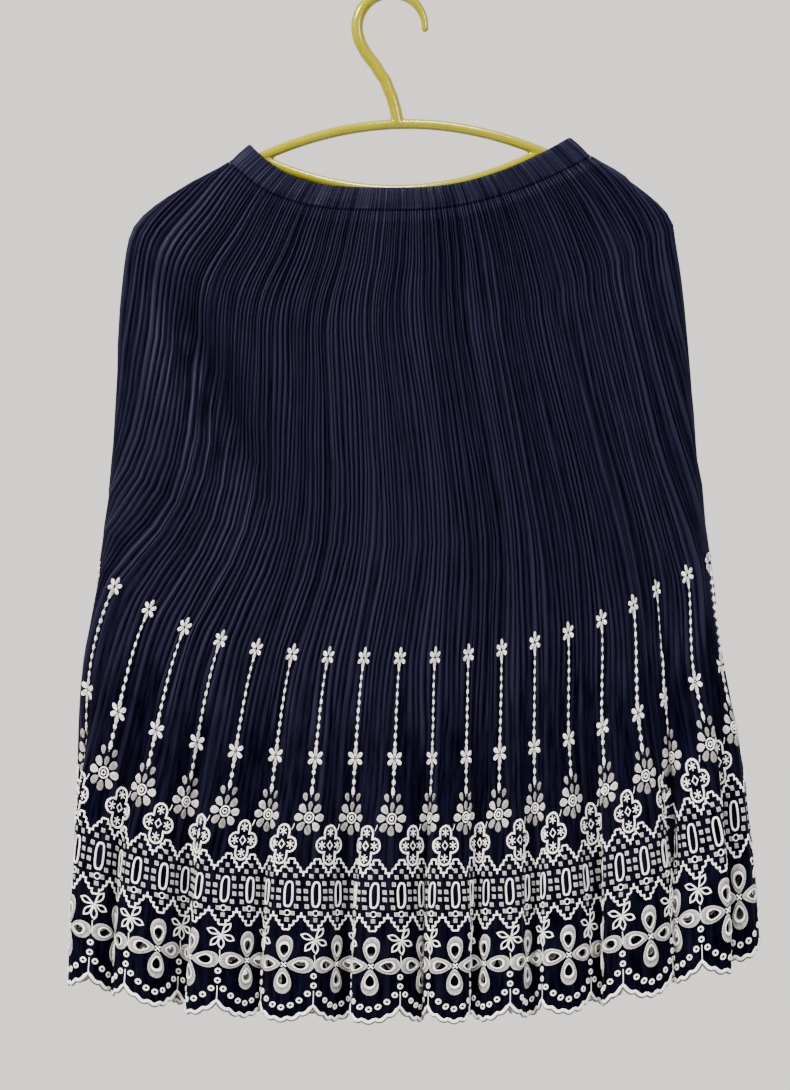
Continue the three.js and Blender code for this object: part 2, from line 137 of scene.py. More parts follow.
def section_at(drop):
    drops = SECTIONS[:, 0]
    last = len(drops) - 2
    i = int(np.clip(np.searchsorted(drops, drop, side="right") - 1, 0, last))

    def slope(k):
        a, b = SECTIONS[max(0, k - 1)], SECTIONS[min(len(drops) - 1, k + 1)]
        return (b - a) / (b[0] - a[0])

    a, b = SECTIONS[i], SECTIONS[i + 1]
    span = b[0] - a[0]
    t = (drop - a[0]) / span
    if t < 0:
        return a + slope(i) * (drop - a[0])
    if t > 1:
        return b + slope(i + 1) * (drop - b[0])
    t2, t3 = t * t, t * t * t
    return ((2 * t3 - 3 * t2 + 1) * a + (t3 - 2 * t2 + t) * span * slope(i)
            + (3 * t2 - 2 * t3) * b + (t3 - t2) * span * slope(i + 1))


def half_outline(section, side, rise):
    """The front (side 1) or back (side -1) of a cross-section, and the length along it."""
    left_x, left_z, right_x, right_z, middle_z = section[1:6]
    half_depth, left_power, right_power = section[9:12]
    angle = np.linspace(0, math.pi, OUTLINE_POINTS)
    across = -side * np.sign(np.cos(angle)) * np.abs(np.cos(angle)) ** OUTLINE_CORNER
    left = across < 0
    lift = np.abs(across) ** np.where(left, left_power, right_power)
    middle_z = middle_z - (BACK_HEM_DROP * rise if side < 0 else 0)
    x = (left_x + right_x) / 2 + (right_x - left_x) / 2 * across
    y = -side * half_depth * np.abs(np.sin(angle)) ** OUTLINE_CORNER
    z = middle_z + (np.where(left, left_z, right_z) - middle_z) * lift
    length = np.r_[0, np.cumsum(np.hypot(np.diff(x), np.diff(y)))]
    return np.stack([x, y, z], 1), length


print("a section in the middle:", np.round(section_at(300), 1))


# %% [markdown]
# ## Flutes and folds
# Below the pleats the cloth opens into soft flutes, because the hem is three times as long as
# the waist. Each flute is a wave of the ring, with a broad flat crest and a narrow valley. The
# crests stand at uneven places from a table and lean to one side, so some lie over a neighbour.
# The ring's length is then shared out evenly within each quarter, as real cloth has the same
# width everywhere and only bends.

# %% The ring of cloth at one height
RING_STEP = 1 / 32  # in columns, while a ring is shaped
GRID_STEP = 1 / 64  # in columns, once its length is shared out
BESIDE = 0.1  # columns to either side, to see which way the ring runs


def spread_evenly(ring):
    """Moves the points along their ring, so that each quarter's cloth is shared out evenly."""
    loop = np.vstack([ring, ring[:1]])
    length = np.r_[0, np.cumsum(np.linalg.norm(np.diff(loop[:, :2], axis=0), axis=1))]
    quarters = (np.linspace(0, 1, 5) * len(ring)).astype(int)
    k = np.clip(np.searchsorted(quarters, np.arange(len(loop)), side="left"), 1, 4)
    start, end = quarters[k - 1], quarters[k]
    shared = (length - length[start]) / (length[end] - length[start])
    stands_at = (start + shared * (end - start)) * RING_STEP
    even = np.arange(int(COLUMNS / GRID_STEP)) * GRID_STEP
    return np.stack([np.interp(even, stands_at, loop[:, k]) for k in range(3)], 1)


def fluted_ring(drop):
    section = section_at(drop)
    fold_x, left_column, right_column = section[6:9]
    rise = float(soft_step((drop - FLUTES_START) / (HEM_DROP - FLUTES_START)))
    front, front_length = half_outline(section, 1, rise)
    back, back_length = half_outline(section, -1, rise)
    fold_share = front_length[np.argmax(front[:, 0] >= fold_x)] / front_length[-1]
    front_columns = right_column - left_column
    fold_columns = FOLD_COLUMN - left_column

    def base(column):
        c = np.mod(column - left_column, COLUMNS)
        rest = (c - fold_columns) / (front_columns - fold_columns)
        share = np.where(c < fold_columns, fold_share * c / fold_columns,
                         fold_share + (1 - fold_share) * rest)
        back_share = (c - front_columns) / (COLUMNS - front_columns)
        there = [np.interp(share * front_length[-1], front_length, front[:, k]) for k in range(3)]
        behind = [np.interp(back_share * back_length[-1], back_length, back[:, k])
                  for k in range(3)]
        return np.where(c > front_columns, behind, there).T

    column = np.arange(int(COLUMNS / RING_STEP)) * RING_STEP
    middle = base(column)
    along = (base(column + BESIDE) - base(column - BESIDE))[:, :2]
    along /= np.linalg.norm(along, axis=1)[:, None]
    around = np.vstack([FLUTES[-1:] - [COLUMNS, 0, 0], FLUTES, FLUTES[:1] + [COLUMNS, 0, 0]])
    i = np.searchsorted(around[:, 0], column, side="right") - 1
    before, after = around[i].T, around[i + 1].T
    flute_columns = after[0] - before[0]
    t = (column - before[0]) / flute_columns
    share, lean = before[1:] + (after[1:] - before[1:]) * soft_step(t)
    valley = ((1 - np.cos(2 * math.pi * t)) / 2) ** FLUTE_FLATNESS
    wave = rise * share * FLUTE_HEIGHT * (FLUTE_CREST - 2 * valley)
    out = wave.copy()
    for at, height, reach, reach_down, depth in FOLDS:
        across = np.mod(column - at + 1.5 * COLUMNS, COLUMNS) - COLUMNS / 2
        out += depth * np.exp(-((across / reach) ** 2) - ((drop - height) / reach_down) ** 2)
    flute_width = flute_columns * (front_length[-1] + back_length[-1]) / COLUMNS
    pinch = rise * share * FLUTE_PINCH * flute_width / (2 * math.pi)
    aside = pinch * np.sin(2 * math.pi * t) + lean * wave
    middle[:, 0] += along[:, 1] * out + along[:, 0] * aside
    middle[:, 1] += -along[:, 0] * out + along[:, 1] * aside
    return spread_evenly(middle)


# %% The whole cloth as one grid of points
GRID_TOP, GRID_BOTTOM, GRID_DOWN = -26.0, 664.0, 2.0
grid_drops = np.arange(GRID_TOP, GRID_BOTTOM + 0.1, GRID_DOWN)
cloth_grid = np.stack([fluted_ring(d) for d in grid_drops])
across_grid = np.roll(cloth_grid, -3, axis=1) - np.roll(cloth_grid, 3, axis=1)
normal_grid = np.cross(np.gradient(cloth_grid, axis=0), across_grid)
normal_grid /= np.linalg.norm(normal_grid, axis=2)[:, :, None]
print("grid of the cloth:", cloth_grid.shape, "lowest point", round(cloth_grid[..., 2].min(), 1))


def read_grid(grid, column, drop):
    across = np.mod(column, COLUMNS) / GRID_STEP
    down = np.clip((drop - GRID_TOP) / GRID_DOWN, 0, len(grid_drops) - 1.001)
    i, j = down.astype(int), across.astype(int)
    u, v = (down - i)[..., None], (across - j)[..., None]
    width = grid.shape[1]
    j, k = j % width, (j + 1) % width
    return ((1 - u) * ((1 - v) * grid[i, j] + v * grid[i, k])
            + u * ((1 - v) * grid[i + 1, j] + v * grid[i + 1, k]))


def on_cloth(column, drop, out):
    column, drop = np.asarray(column, float), np.asarray(drop, float)
    normal = read_grid(normal_grid, column, drop)
    normal /= np.linalg.norm(normal, axis=-1)[..., None]
    return read_grid(cloth_grid, column, drop) + normal * np.asarray(out, float)[..., None]


# %% [markdown]
# ## The pleats
# Plisse cloth is heat-set between two folded papers. The pleats are close to even, but where the
# cloth hangs each one opens more or less, leans to one side and wavers a little. Narrow bright
# crests beside wide flat ones are what make it look like cloth and not like a comb. Below, they
# end at uneven heights, and half-pressed ripples run on into the border.

# %% Where each pleat stands and how high it is
STRING_PHASE = 0.25  # the strings of beads hang a quarter of a repeat after the scallops
PLEATS = 253
PLEAT_DEPTH = 3.4
PLEAT_VALLEY = 0.55  # share of the depth that lies behind the cloth's middle line
rng = np.random.default_rng(7)
pleats_between = np.where(np.arange(COLUMNS) % 3 == 2, 7, 6)
string_pleat = np.r_[0, np.cumsum(pleats_between)]
string_column = np.arange(COLUMNS + 1) + STRING_PHASE
pleat_columns = np.interp(np.arange(PLEATS + 1), string_pleat, string_column)
pleat_columns[1:-1] += rng.uniform(-0.05, 0.05, PLEATS - 1)
pleat_height = rng.uniform(0.38, 1.15, PLEATS)
pleat_lean = rng.uniform(0.68, 1.45, PLEATS)
pleat_sway = rng.uniform(0, 2 * math.pi, (PLEATS, 2))
pleat_end = rng.uniform(362, 412, PLEATS)
# a random strength for each pleat's painted crest highlight
pleat_shine = rng.uniform(0.55, 1.25, PLEATS)
pleat_ripple = rng.uniform(0.05, 0.62, PLEATS) ** 1.3
print("pleats:", PLEATS, "from", pleats_between.min(), "to", pleats_between.max(), "a repeat")


def pleat_waver(column, drop):
    """How far the pleats' lines stray to the side, in columns. They run straight at the seams."""
    seam = np.abs(np.mod(column - SIDE_SEAM + PANEL_COLUMNS / 2, PANEL_COLUMNS) - PANEL_COLUMNS / 2)
    stray = 0.03 * np.sin(drop / 47 + 2.3 * column) + 0.018 * np.sin(drop / 21 - 5.1 * column)
    return stray * soft_step(seam / 0.6) * (1 - soft_step((drop - 380) / 120))


def pleat_phase(column):
    turn = np.mod(column - STRING_PHASE, COLUMNS) + STRING_PHASE
    return np.interp(turn, pleat_columns, np.arange(PLEATS + 1)) + 0.5


def pleat_column(phase):
    turns = np.floor((phase - 0.5) / PLEATS)
    inside_turn = phase - 0.5 - turns * PLEATS
    return np.interp(inside_turn, np.arange(PLEATS + 1), pleat_columns) + turns * COLUMNS


def pleat_level(drop, end=387.0, ripple=0.3):
    pressed = 1 - soft_step((drop - end) / 34)
    rippled = ripple * (1 - 0.75 * soft_step((drop - 470) / 170))
    return pressed + (1 - pressed) * rippled


def pleat_out(column, drop):
    phase = pleat_phase(column - pleat_waver(column, drop))
    number = np.floor(phase).astype(int) % PLEATS
    part = (phase - np.floor(phase)) ** pleat_lean[number]
    crest = np.abs(np.sin(math.pi * part)) ** 0.85
    sway = (1 + 0.16 * np.sin(drop / 43 + pleat_sway[number, 0])
            + 0.1 * np.sin(drop / 18 + pleat_sway[number, 1]))
    level = pleat_level(drop, pleat_end[number], pleat_ripple[number])
    return PLEAT_DEPTH * (level * pleat_height[number] * sway * crest
                          - PLEAT_VALLEY * pleat_level(drop))


# %% [markdown]
# ## Creases
# Besides its pleats the cloth has a few soft troughs and ridges of its own, where its weight
# pulls from a shoulder or where it was folded. Each is a line from one place to another with a
# width and a depth. They are uneven on purpose, and the back has its own.

# %% Where the creases run
# from column and drop, to column and drop, width, depth in mm (a ridge is above 0)
CREASES = np.array([
    [-0.3, 112, 3.9, 238, 15, -9.0],
    [-1.1, 158, 2.5, 282, 15, 3.0],
    [0.6, 62, 3.2, 118, 8, -2.6],
    [4.4, 70, 5.2, 160, 9, -2.2],
    [16.6, 120, 16.9, 560, 6, -5.0],
    [17.3, 160, 17.6, 520, 9, 2.6],
    [18.9, 210, 19.2, 470, 7, -3.0],
    [8.2, 300, 8.0, 430, 16, -1.6],
    [13.1, 250, 13.6, 400, 18, 1.8],
    [5.8, 395, 5.6, 560, 8, -2.4],
    [11.4, 400, 11.2, 540, 9, -2.2],
    [14.4, 405, 14.7, 570, 8, -2.4],
    [22.8, 110, 25.4, 245, 14, -4.5],
    [37.4, 120, 34.9, 240, 13, -4.0],
    [28.3, 260, 28.0, 430, 16, -1.8],
    [31.6, 400, 31.9, 560, 8, -2.4],
    [25.2, 400, 25.0, 550, 9, -2.2],
])
HANGING_COLUMN = 27.0  # a repeat is about this wide halfway down, where the pleats draw it in
CREASE_FADE = 60  # a crease fades in and out over this length, centred on its ends


def crease_out(column, drop):
    column, drop = np.broadcast_arrays(column, drop)
    out = np.zeros(column.shape)
    for start, top, end, bottom, width, depth in CREASES:
        across = np.mod(column - start + PANEL_COLUMNS, COLUMNS) - PANEL_COLUMNS
        u, v = across * HANGING_COLUMN, drop - top
        du, dv = (end - start) * HANGING_COLUMN, bottom - top
        long = math.hypot(du, dv)
        along, aside = (u * du + v * dv) / long, (u * dv - v * du) / long
        half = CREASE_FADE / 2
        ends = (soft_step((along + half) / CREASE_FADE)
                * soft_step((long + half - along) / CREASE_FADE))
        out += depth * ends * np.exp(-((aside / width) ** 2))
    return out


print("creases:", len(CREASES), "deepest", CREASES[:, 5].min(), "mm")


# %% [markdown]
# ## Turning points into a mesh
# Cloth and stitches are laid out as grids and outlines of points, which is mesh code and no
# modelling by hand. One function makes an object from points and faces. It keeps a UV map in
# millimetres, so that a weave or a stitch has its real size, and one point attribute of painted
# light and shade, which a material turns into colour: a painted highlight on a pleat's crest and
# painted shade in its valley in the cloth, painted highlights and shades on the stitches.

# %% One mesh from points and faces
def make_piece(name, points_mm, faces, uv_mm, tone, smooth=True):
    mesh = bpy.data.meshes.new(name)
    mesh.from_pydata((np.asarray(points_mm) / 1000).tolist(), [], [list(f) for f in faces])
    corner_vertex = np.zeros(len(mesh.loops), dtype=np.int32)
    mesh.loops.foreach_get("vertex_index", corner_vertex)
    layer = mesh.uv_layers.new(name="UVMap")
    layer.data.foreach_set("uv", np.asarray(uv_mm)[corner_vertex].astype(np.float32).ravel())
    # the attribute is painted light and shade: how bright a material paints each point
    values = mesh.attributes.new("tone", "FLOAT", "POINT")
    values.data.foreach_set("value", np.asarray(tone, dtype=np.float32))
    mesh.polygons.foreach_set("use_smooth", [smooth] * len(mesh.polygons))
    mesh.update()
    piece = bpy.data.objects.new(name, mesh)
    bpy.context.scene.collection.objects.link(piece)
    return piece


def looped_rows(rows, n, closed=True):
    """The faces between rows of n points. The last row joins the first one again."""
    return [(r * n + i, (r + 1) % rows * n + i, (r + 1) % rows * n + (i + 1) % n,
             r * n + (i + 1) % n) for r in range(rows) for i in range(n if closed else n - 1)]


def thick_sheet(outer, inner, quads):
    """The faces of a closed wall between two nets of points that share one list of quads."""
    count = len(outer)
    edges = np.concatenate([quads[:, [k, (k + 1) % 4]] for k in range(4)])
    codes = edges[:, 0].astype(np.int64) * count + edges[:, 1]
    back_codes = edges[:, 1].astype(np.int64) * count + edges[:, 0]
    rim = edges[~np.isin(codes, back_codes)]
    sides = np.stack([rim[:, 1], rim[:, 0], rim[:, 0] + count, rim[:, 1] + count], 1)
    faces = np.concatenate([quads, quads[:, ::-1] + count, sides])
    return np.vstack([outer, inner]), faces


# %% [markdown]
# ## The flat embroidery design
# The border repeats every 45 mm. Each motif is drawn once, flat, as small raised shapes: `s`
# runs along the hem, `h` is the height above the hem's lowest line, both in millimetres. Satin
# stitch is thread laid side by side over a shape, so every shape is slightly domed. Outlines
# are narrow ribbons of it, and an eyelet is a ring of it round a hole cut in the cloth.

# %% Small stitched shapes
BASE = -0.35  # a stitched shape starts this far inside the cloth
motif_shapes = []


# every shape's tone is painted light and shade: how bright the one cream thread is painted there
def stitched(points, faces, uv, tone):
    motif_shapes.append((np.array(points, float), faces, np.array(uv, float), np.array(tone)))


def satin_leaf(outline, height=0.6, direction=math.pi / 2, tone=0.8):
    """A flat filled shape with steep sides. The threads run along the direction."""
    outline = np.asarray(outline, float)
    n = len(outline)
    middle = outline.mean(axis=0)
    ring = middle + (outline - middle) * 0.8
    points = [(*p, BASE) for p in outline] + [(*p, height) for p in ring]
    points.append((*middle, height * 1.15))
    faces = [(i, (i + 1) % n, n + (i + 1) % n, n + i) for i in range(n)]
    faces += [(n + i, n + (i + 1) % n, 2 * n) for i in range(n)]
    faces.append(tuple(range(n - 1, -1, -1)))
    c, d = math.cos(direction), math.sin(direction)
    uv = [(p[0] * d - p[1] * c, p[0] * c + p[1] * d) for p in points]
    # painted highlight on the top ring, painted shade at the foot and in the middle
    stitched(points, faces, uv, [tone * 0.8] * n + [tone * 1.2] * n + [tone * 0.7])


def satin_line(path, width=1.5, height=0.6, closed=False, tone=1.2):
    """A narrow ribbon with a flat top. The threads run across it."""
    path = np.asarray(path, float)
    ahead = np.roll(path, -1, axis=0) - path
    behind = path - np.roll(path, 1, axis=0)
    if not closed:
        ahead[-1], behind[0] = behind[-1], ahead[0]

    def unit(v):
        return v / np.maximum(np.linalg.norm(v, axis=1), 1e-9)[:, None]

    ahead, behind = unit(ahead), unit(behind)
    along = unit(ahead + behind)
    aside = np.stack([-along[:, 1], along[:, 0]], 1)
    turn = np.clip((along * ahead).sum(axis=1), 0.6, 1)[:, None]
    n = len(path)
    run = np.r_[0, np.cumsum(np.linalg.norm(np.diff(path, axis=0), axis=1))]
    points, uv = [], []
    for share, out in ((0.5, BASE), (0.3, height), (-0.3, height), (-0.5, BASE)):
        points += [(*p, out) for p in path + aside * width * share / turn]
        uv += [(u, width * share) for u in run]
    faces = looped_rows(4, n, closed)
    if not closed:
        faces += [(0, 3 * n, 2 * n, n), (n - 1, 2 * n - 1, 3 * n - 1, 4 * n - 1)]
    # a line is painted one brightness, a painted highlight brighter than the grey of filled shapes
    stitched(points, faces, uv, [tone] * len(points))


def crossed_lines(s, h, reach, width, directions):
    """Short stitched lines that cross in one point, as a star."""
    for direction in directions:
        ds, dh = reach * math.cos(direction), reach * math.sin(direction)
        satin_line([(s - ds, h - dh), (s, h), (s + ds, h + dh)], width)


# share of the way from the outline to the hole, height and painted brightness: grey painted shade
# over the petal, a painted highlight on the raised rim, painted shade down into the hole
EYELET_PROFILE = [
    (0.0, 0.0, 0.4), (0.1, 0.5, 0.42), (0.66, 0.6, 0.16), (0.8, 1.15, 1.4), (0.93, 1.1, 1.4),
    (1.0, 0.5, 0.4), (1.0, -1.0, 0.2), (0.5, -1.3, 0.2),
]


def eyelet(outline, hole):
    """A satin petal round a hole, with a raised rim at the hole and threads that run to it."""
    outline, hole = np.asarray(outline, float), np.asarray(hole, float)
    n, rows = len(outline), len(EYELET_PROFILE)
    points = [(*p, out) for share, out, tone in EYELET_PROFILE
              for p in outline * (1 - share) + hole * share]
    painted_shadings = np.repeat([tone for share, out, tone in EYELET_PROFILE], n)
    faces = [(face[0], *face[:0:-1]) for face in looped_rows(rows, n)]  # wound the other way
    girth = np.linspace(0, 40, n)
    stitched(points, faces, [(g, 2.0 * r) for r in range(rows) for g in girth], painted_shadings)


def oval(s, h, wide, tall, sides, turn=0.0):
    angle = np.arange(sides) * 2 * math.pi / sides
    p = np.stack([wide / 2 * np.cos(angle), tall / 2 * np.sin(angle)], 1)
    c, d = math.cos(turn), math.sin(turn)
    return p @ np.array([[c, d], [-d, c]]) + (s, h)


def drop_shape(s, h, direction, near, far, wide, sides, blunt=0.62):
    """A petal's outline: narrow near the flower's middle, round and full towards its tip."""
    angle = np.arange(sides) * 2 * math.pi / sides
    along = near + (far - near) * (0.5 + 0.5 * np.cos(angle))
    taper = (0.5 + 0.5 * np.cos(angle)) ** blunt
    aside = wide / 2 * np.sin(angle) * (0.45 + 0.62 * taper)
    c, d = math.cos(direction), math.sin(direction)
    return np.stack([s + along * c - aside * d, h + along * d + aside * c], 1)


def take_motif():
    """Hands over what has been drawn, as one set of points, faces, UVs and tones."""
    points, faces, uvs, painted_shadings = joined(motif_shapes)
    motif_shapes.clear()
    return points, faces, uvs, painted_shadings


def joined(parts):
    points, faces, uvs, painted_shadings, start = [], [], [], [], 0
    for p, f, uv, tone in parts:
        points.append(p)
        faces += [tuple(i + start for i in face) for face in f]
        uvs.append(uv)
        painted_shadings.append(tone)
        start += len(p)
    return np.vstack(points), faces, np.vstack(uvs), np.concatenate(painted_shadings)


print("stitches lie from", BASE, "mm inside the cloth upwards")

# %% [markdown]
# ## The strings of beads and the daisies
# Each string starts with a small flower, runs down as a row of beads on a thread, passes a
# second flower, and ends in a daisy with eight petals round a double ring.

# %% Draw a string
TOP_FLOWER, MIDDLE_FLOWER, DAISY = 294.0, 213.0, 165.0  # heights above the hem
BEADS, FIRST_BEAD, BEAD_STEP = 10, 224.8, 6.7
QUARTER = math.pi / 2


def petal(h, direction, near, far, wide, sides, tone=0.33):
    """A satin petal. Its painted sheen makes it brighter or greyer with the way that its threads
    run.
    """
    # painted sheen: brighter or greyer by the threads' direction
    tone += 0.15 * math.cos(2 * direction + 0.6)
    satin_leaf(drop_shape(0, h, direction, near, far, wide, sides), 0.6, direction, tone)


def six_petals(h, long, wide):
    for k in range(6):
        reach = long * (1.12 if k % 3 == 0 else 1.0)
        petal(h, QUARTER + k * math.pi / 3, 0.9, reach, wide, 9, tone=0.6)


six_petals(TOP_FLOWER, 8.0, 4.4)
for k in range(BEADS):
    bead = oval(0, FIRST_BEAD + BEAD_STEP * k, 3.9 - 0.13 * k, 5.2 - 0.1 * k, 8)
    satin_leaf(bead, 0.75, tone=0.8)
six_petals(MIDDLE_FLOWER, 9.0, 5.0)
for k, tall in enumerate((4.8, 5.4, 8.0)):
    satin_leaf(oval(0, 201.5 - 7.4 * k, 4.2, tall, 8), 0.75, tone=0.7)
satin_line([(0, 181.5 + 4 * k) for k in range(28)], 0.7, 0.3, tone=0.35)
string_motif = take_motif()
print("string faces:", len(string_motif[1]))

# %% Draw a daisy
for k in range(1, 8):
    petal(DAISY, QUARTER + k * math.pi / 4, 5.2, 14.6, 7.8, 12)
petal(DAISY, QUARTER, 5.0, 13.4, 5.4, 10)
for lean in (-0.34, 0.34):
    petal(DAISY, QUARTER + lean, 13.6, 21.4, 5.8, 10)
satin_line(oval(0, DAISY, 8.6, 8.2, 18), 1.3, 0.55, closed=True)
satin_line(oval(0, DAISY, 3.8, 3.6, 10), 1.2, 0.55, closed=True)
daisy_motif = take_motif()
print("daisy faces:", len(daisy_motif[1]))

# %% [markdown]
# ## The quatrefoils and the lattice
# A thick outline of four lobes holds a small star in each lobe. Below it runs the lattice: a
# wavy stepped line above and below, and between them long loops with rows of little squares.

# %% Draw a quatrefoil
FOIL = 143.0
LOBE = 5.9  # from the middle of a lobe to the outline's middle
foil = []
for k, reach in enumerate((7.3, 9.9) * 2):
    c, d = math.cos(k * QUARTER), math.sin(k * QUARTER)
    for turn in np.radians(np.arange(-84, 85, 28)):
        along, aside = reach + LOBE * math.cos(turn), LOBE * math.sin(turn)
        foil.append((along * c - aside * d, FOIL + along * d + aside * c))
    foil.append((5.6 * (c - d), FOIL + 5.6 * (c + d)))
satin_line(foil, 1.9, 0.7, closed=True)
for ds, dh in ((0, 10.4), (0, -10.4), (8.0, 0), (-8.0, 0)):
    crossed_lines(ds, FOIL + dh, 3.4, 1.1, [QUARTER + k * math.pi / 3 for k in range(3)])
satin_line([(0, FOIL + 3.4), (2.8, FOIL), (0, FOIL - 3.4), (-2.8, FOIL)], 1.0, closed=True)
satin_line([(7.5, FOIL + 12), (8.6, FOIL + 14.5), (9.2, FOIL + 17)], 0.8, 0.4)
satin_line([(4.5, FOIL - 14), (7, FOIL - 18), (10.5, FOIL - 21)], 0.8, 0.4)
foil_motif = take_motif()
print("quatrefoil faces:", len(foil_motif[1]))

# %% Draw one element of the lattice
LATTICE = 103.0
STEPS = [(0, 28.6), (2.6, 25.2), (5.6, 21.8), (8.4, 18.2), (11.25, 14.6)]


def stepped_edge(sign):
    """From the element's peak out to its side, in small arcs that bulge outwards."""
    path = []
    for (s0, h0), (s1, h1) in zip(STEPS[:-1], STEPS[1:]):
        for t in (0.0, 0.33, 0.67):
            bulge = 1.35 * math.sin(math.pi * t)
            path.append((s0 + (s1 - s0) * t + bulge, h0 + (h1 - h0) * t + bulge))
    path.append(STEPS[-1])
    return [(s, LATTICE + sign * h) for s, h in path]


for sign in (1, -1):
    right = stepped_edge(sign)
    satin_line([(-s, h) for s, h in right[:0:-1]] + right, 1.6)
turns = np.arange(20) * 2 * math.pi / 20
wide, tall = np.cos(turns), np.sin(turns)
capsule = np.stack([3.2 * np.sign(wide) * np.abs(wide) ** 0.6,
                    LATTICE + 9.9 * np.sign(tall) * np.abs(tall) ** 0.75], 1)
satin_line(capsule, 1.9, 0.7, closed=True)
SQUARES = [(4.6, 14.8), (7.0, 9.0), (8.4, 2.6), (8.4, -3.4), (7.0, -9.8), (4.2, -15.4)]
for ds, dh in SQUARES + [(-s, h) for s, h in SQUARES] + [(0, 19.5), (0, -20.7)]:
    satin_leaf(oval(ds, LATTICE + dh, 4.9, 5.6, 4, QUARTER / 2), 0.45, tone=0.36)
satin_line(oval(0, LATTICE - 15.2, 4.6, 4.4, 10), 1.0, closed=True)
lattice_motif = take_motif()
print("lattice faces:", len(lattice_motif[1]))

# %% [markdown]
# ## The eyelet flowers, the rings and the scalloped edge
# A large flower has four satin petals, each round a hole that is cut right through the cloth.
# Between two of them is a small open flower. Little rings hang in a swag below, and the hem is
# cut in scallops and stitched over the edge so it can't fray.

# %% Draw the large flower and note its holes
FLOWER = 46.0
HOLE_NEAR, HOLE_FAR, HOLE_WIDE = 7.2, 16.3, 7.4
cloth_holes = []
for k, (near, far, wide) in enumerate([(2.2, 22.5, 15.0), (2.4, 23.5, 14.5)] * 2):
    direction = k * QUARTER
    outline = drop_shape(0, FLOWER, direction, near, far, wide, 22)
    hole = drop_shape(0, FLOWER, direction, HOLE_NEAR, HOLE_FAR, HOLE_WIDE, 22)
    eyelet(outline, hole)
    cloth_holes.append(outline * 0.5 + hole * 0.5)
crossed_lines(0, FLOWER, 2.6, 1.2, [0.25 * math.pi, 0.75 * math.pi])
flower_motif = take_motif()
print("large flower faces:", len(flower_motif[1]))

# %% Draw the small open flower
SMALL_FLOWER = 66.5
for degrees in (52, 160, 232, 276, 338):
    c, d = math.cos(math.radians(degrees)), math.sin(math.radians(degrees))
    lens = [(0.8 + 10.4 * t, 2.15 * math.sin(math.pi * t ** 1.4)) for t in np.linspace(0, 1, 7)]
    lens += [(along, -aside) for along, aside in lens[-2:0:-1]]
    satin_line([(a * c - b * d, SMALL_FLOWER + a * d + b * c) for a, b in lens], 1.35,
               closed=True)
satin_line([(0, SMALL_FLOWER - 12.4), (0.4, SMALL_FLOWER - 18), (0, SMALL_FLOWER - 22)], 0.8, 0.35)
small_flower_motif = take_motif()
print("small flower faces:", len(small_flower_motif[1]))

# %% Draw the swag of rings
RIGHT_HALF = [(6.4, 13.6), (12.4, 17.6), (18.2, 23.0)]
SWAG = [(-s, h) for s, h in RIGHT_HALF] + [(0, 11.6)] + RIGHT_HALF
for s, h in SWAG + [(22.5, 29.6), (22.5, 37.2)]:
    satin_line(oval(s, h, 3.5, 3.4, 10), 1.55, closed=True)
satin_line([(22.5, 25.5), (22.5, 21), (22.4, 16), (22.5, 12.5)], 0.8, 0.35)
swag_motif = take_motif()
print("swag faces:", len(swag_motif[1]))


# %% Where the hem runs
WAVES, WAVE_HEIGHT = 5, 2.2  # small waves along each scallop


def hem_drop(column):
    part = column - np.round(column)
    ripple = WAVE_HEIGHT * (1 - np.abs(np.sin(math.pi * WAVES * (part + 0.5))) ** 0.75)
    return HEM_DROP - SCALLOP * (2 * np.abs(part)) ** 2 - ripple


print("hem from", round(float(hem_drop(np.array(0.5))), 1), "to", HEM_DROP)

# %% [markdown]
# ## Laying the cloth
# Each panel is one sheet with six points across every pleat. Its rows lie close together where
# the cloth bends or its pleats end, and the last ones share out the way from the large flowers'
# tops to the scalloped hem. A cell of the sheet is left out where its middle falls inside an
# eyelet: the satin ring covers the rough edge, as the stitching does on the real one.

# %% Build a panel
CLOTH_HALF = 0.4  # half the cloth's thickness
HALF_SEAM_GAP = 0.15
MEAN_RING = 1500.0  # length of a ring of cloth, from which the gap is turned into columns
SEAM_CLEARANCE = 0.03  # no pleat point lies nearer to a seam than this, in columns
PLEAT_POINTS = np.array([0.0, 0.13, 0.33, 0.5, 0.67, 0.87])
# close rows round the shoulders, where the cloth bends over the hanger's tips, then wide ones,
# and close ones again where the pleats end
pleated_drops = np.r_[HALF_SEAM_GAP, np.linspace(10, 130, 12), np.linspace(150, 350, 8),
                      np.linspace(360, 430, 7)]
FLOWER_TOP_DROP = HEM_DROP - FLOWER - 25


def inside(points, outline):
    x, y = points[:, 0], points[:, 1]
    hit = np.zeros(len(points), bool)
    for (x0, y0), (x1, y1) in zip(outline, np.roll(outline, -1, axis=0)):
        crosses = ((y0 > y) != (y1 > y)) & (x < (x1 - x0) * (y - y0) / (y1 - y0 + 1e-12) + x0)
        hit ^= crosses
    return hit


def cloth_quads(rows, columns):
    i, j = np.meshgrid(np.arange(rows - 1), np.arange(columns - 1), indexing="ij")
    a = (i * columns + j).ravel()
    return np.stack([a, a + columns, a + columns + 1, a + 1], 1)


def cut_eyelets(quads, c, d):
    """The cells that are left when those whose middle falls inside an eyelet are taken out."""
    middle_c, middle_d = c[quads].mean(axis=1), d[quads].mean(axis=1)
    part = middle_c - np.round(middle_c)
    flat = np.stack([part * REPEAT, HEM_DROP - middle_d], 1)
    cut = np.zeros(len(quads), bool)
    for outline in cloth_holes:
        cut |= inside(flat, outline)
    print("cells cut out:", int(cut.sum()))
    return quads[~cut]


